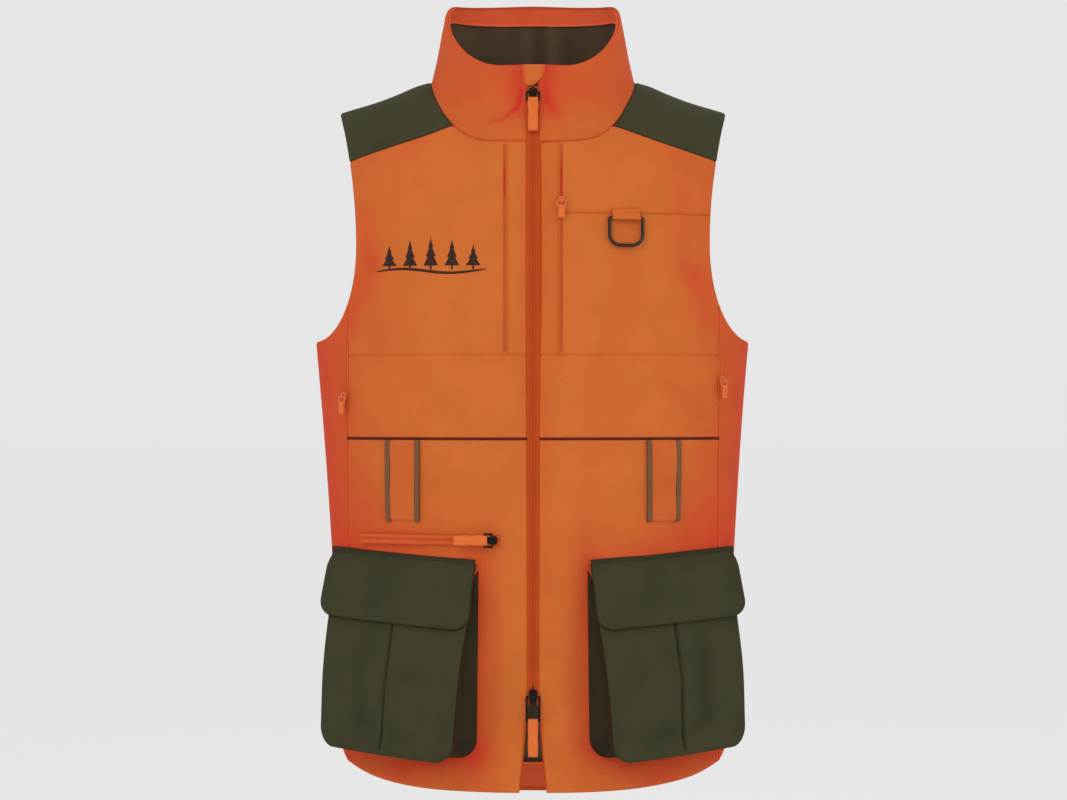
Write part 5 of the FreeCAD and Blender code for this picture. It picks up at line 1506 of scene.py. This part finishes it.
TREES, TREE_PITCH, TREE_TALL, STRAND = 5, 0.021, 0.028, 0.0004
ROW_MIDDLE, ROW_FOOT = -0.101, -0.196


def make_embroidery():
    """Plain row of fir trees on a ground line, in raised satin stitch."""
    vertices, faces, uv = [], [], []

    def satin(points, half_widths, lift=0.0004):
        """Raised rib along a line in (x, z), with sewn strands across it."""
        base = len(vertices)
        points = np.array(points, float)
        run = unit(np.gradient(points, axis=0))
        side = np.stack([-run[:, 1], run[:, 0]], axis=1)
        shares = np.linspace(-1, 1, 7)
        for k, (point, away, half) in enumerate(zip(points, side, half_widths)):
            x = point[0] + away[0] * half * shares
            z = point[1] + away[1] * half * shares
            strand = 0.00010 * math.sin(k * 2.1)
            spots, facing = on_front(x, z, 0.0011)
            rise = (lift + strand) * np.sqrt(np.clip(1 - shares ** 2, 0, 1))
            vertices.extend(spots + facing * rise[:, None])
            uv.extend([(float(value) * half, k * STRAND) for value in shares])
        for k in range(len(points) - 1):
            for j in range(6):
                a = base + k * 7 + j
                faces.append((a, a + 1, a + 8, a + 7))

    for k in range(TREES):
        place = k - TREES // 2
        offset = place * TREE_PITCH
        tall = TREE_TALL - 0.004 * abs(place) + 0.0015 * (k % 2)
        count = int(tall / STRAND)
        rise = np.linspace(0, 1, count)
        tiers = 0.0075 * (1 - rise) * (0.62 + 0.38 * ((rise * 3.0) % 1.0 * -1 + 1))
        line = [(ROW_MIDDLE + offset, ROW_FOOT + 0.004 + tall * share) for share in rise]
        satin(line, np.maximum(tiers, 0.0004))
        satin([(ROW_MIDDLE + offset, ROW_FOOT + 0.004 * share) for share in np.linspace(0, 1, 10)],
              [0.0009] * 10)
    shares = np.linspace(0, 1, 240)
    ground = [(ROW_MIDDLE - 0.055 + 0.110 * share, ROW_FOOT - 0.0012 + 0.0022 * math.sin(share * 7))
              for share in shares]
    satin(ground, [0.0012 * math.sin(math.pi * share) ** 0.4 + 0.0002 for share in shares])
    piece = make_object("chest_embroidery", vertices, faces, uv)
    finish_piece(recalculated(piece), BROWN_THREAD, "vest")


def front_line(points, count=60, lift=0.0011):
    """Run of draped front points through a list of (x, z)."""
    points = np.array(points, float)
    share = np.linspace(0, len(points) - 1, count)
    x = np.interp(share, np.arange(len(points)), points[:, 0])
    z = np.interp(share, np.arange(len(points)), points[:, 1])
    return on_front(x, z, lift)


# Sewn rows of the shell: piece, edge, distance in from it; the first list is sewn on both sides
SIDE_SEAMS = [
    ("chest_panel", "b", 0.0020), ("chest_panel", "l", 0.0042), ("chest_panel", "r", 0.0060),
    ("chest_panel", "t", 0.0022), ("placket", "l", 0.0018), ("placket", "l", 0.0062),
    ("placket", "r", 0.0035),
    ("waist_band", "l", 0.0018), ("waist_band", "t", 0.0060), ("waist_band", "l", 0.0062),
    ("waist_band", "b", 0.0024), ("lower_front", "l", 0.0018), ("lower_front", "l", 0.0062),
    ("lower_front", "b", 0.0220), ("lower_front", "t", 0.0024), ("side_panel", "b", 0.0220),
    ("side_panel", "t", 0.0060), ("side_panel", "l", 0.0020), ("side_panel", "r", 0.0020),
]
BACK_SEAMS = [
    ("back_panel", "b", 0.0220), ("back_panel", "t", 0.0022), ("back_yoke", "b", 0.0022),
    ("back_panel", "l", 0.0020), ("back_panel", "r", 0.0020),
]


def make_stitching(sheets, collar_sheet, strips, pockets, waist_lines):
    runs = [edge_run(sheets[f"{label}_{name}"], key, inset)
            for name in SIDES for label, key, inset in SIDE_SEAMS]
    runs += [edge_run(sheets[label], key, inset) for label, key, inset in BACK_SEAMS]
    runs += [edge_run(collar_sheet, "t", 0.0050), edge_run(collar_sheet, "b", 0.0022)]
    lap = [(0.031, CHEST_LAP_Z + 0.0028), (0.176, CHEST_LAP_Z + 0.0028)]
    runs += [front_line(lap, 90), *waist_lines]
    runs += [edge_run(strips[name], "b", inset) for name in SIDES for inset in (0.0022, 0.0072)]
    stitches("shell_thread", runs, ORANGE_THREAD)
    olive = [edge_run(sheets[f"shoulder_yoke_{name}"], key, 0.0022) for name in SIDES for key in "blrt"]
    for name in SIDES:
        olive += [edge_run(pockets["front", name], key, 0.0034) for key in "lrb"]
    stitches("olive_thread", olive, OLIVE_THREAD)
    for name in SIDES:
        flap = pockets["flap", name]
        lines = [edge_run(flap, key, 0.0040) for key in "lrb"] + [edge_run(flap, "t", 0.0055)]
        stitches(f"flap_thread_{name}", lines, OLIVE_THREAD, f"flap_{name}")


# ---------------------------------------------------------------- stage, light and camera


# Area lamps: place, size and power; all look at the middle of the vest
LAMPS = [
    ("key", (-1.4, -2.6, 1.3), 1.6, 22),
    ("fill", (1.9, -2.4, 0.4), 1.8, 12),
    ("back", (0.6, 2.6, 1.4), 1.8, 14),
]
LAMP_TARGET, FLOOR_SIZE, FLOOR_DROP = (0, 0, -0.35), 60, 0.28
FLOOR_GREY, FLOOR_GLOW, SKY_GREY = 0.10, 0.70, 0.791


def make_stage():
    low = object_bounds()[0]
    bpy.ops.mesh.primitive_plane_add(size=FLOOR_SIZE, location=(0, 10, low[2] - FLOOR_DROP))
    floor = bpy.context.object
    floor.name = "floor"
    material, tree, shader = new_material("pale_floor")
    set_inputs(shader, Base_Color=(FLOOR_GREY, FLOOR_GREY, FLOOR_GREY, 1), Roughness=0.95,
               Specular_IOR_Level=0.0, Emission_Color=(1, 1, 1, 1), Emission_Strength=FLOOR_GLOW)
    floor.data.materials.append(material)
    world = bpy.data.worlds.new("studio")
    bpy.context.scene.world = world
    world.use_nodes = True
    sky = world.node_tree.nodes["Background"]
    set_inputs(sky, Color=(SKY_GREY, SKY_GREY, SKY_GREY, 1), Strength=1.0)
    for name, place, size, power in LAMPS:
        lamp = bpy.data.lights.new(name, "AREA")
        lamp.shape, lamp.size, lamp.energy = "DISK", size, power
        item = bpy.data.objects.new(name, lamp)
        bpy.context.scene.collection.objects.link(item)
        item.location = place
        item.rotation_euler = (Vector(LAMP_TARGET) - Vector(place)).to_track_quat("-Z", "Y").to_euler()


CAMERA_PLACE, SENSOR_WIDTH, LENS = (0.0005, -3.0, -0.3255), 36.0, 98.3


def make_camera():
    data = bpy.data.cameras.new("camera")
    data.sensor_width, data.lens = SENSOR_WIDTH, LENS
    camera = bpy.data.objects.new("camera", data)
    camera.location = CAMERA_PLACE
    camera.rotation_euler = (math.pi / 2, 0, 0)
    bpy.context.scene.collection.objects.link(camera)
    bpy.context.scene.camera = camera
    bpy.context.scene.view_settings.view_transform = "Standard"


make_camera()
shell = make_shell()
collar_cloth = make_collar()
make_linings()
make_main_zip()
strip_cloth = make_trim()
make_chest_seam()
pocket_cloth = make_pockets()
waist_runs = make_waist_zip()
make_hardware()
make_ring_tab()
make_embroidery()
make_stitching(shell, collar_cloth, strip_cloth, pocket_cloth, waist_runs)
make_stage()
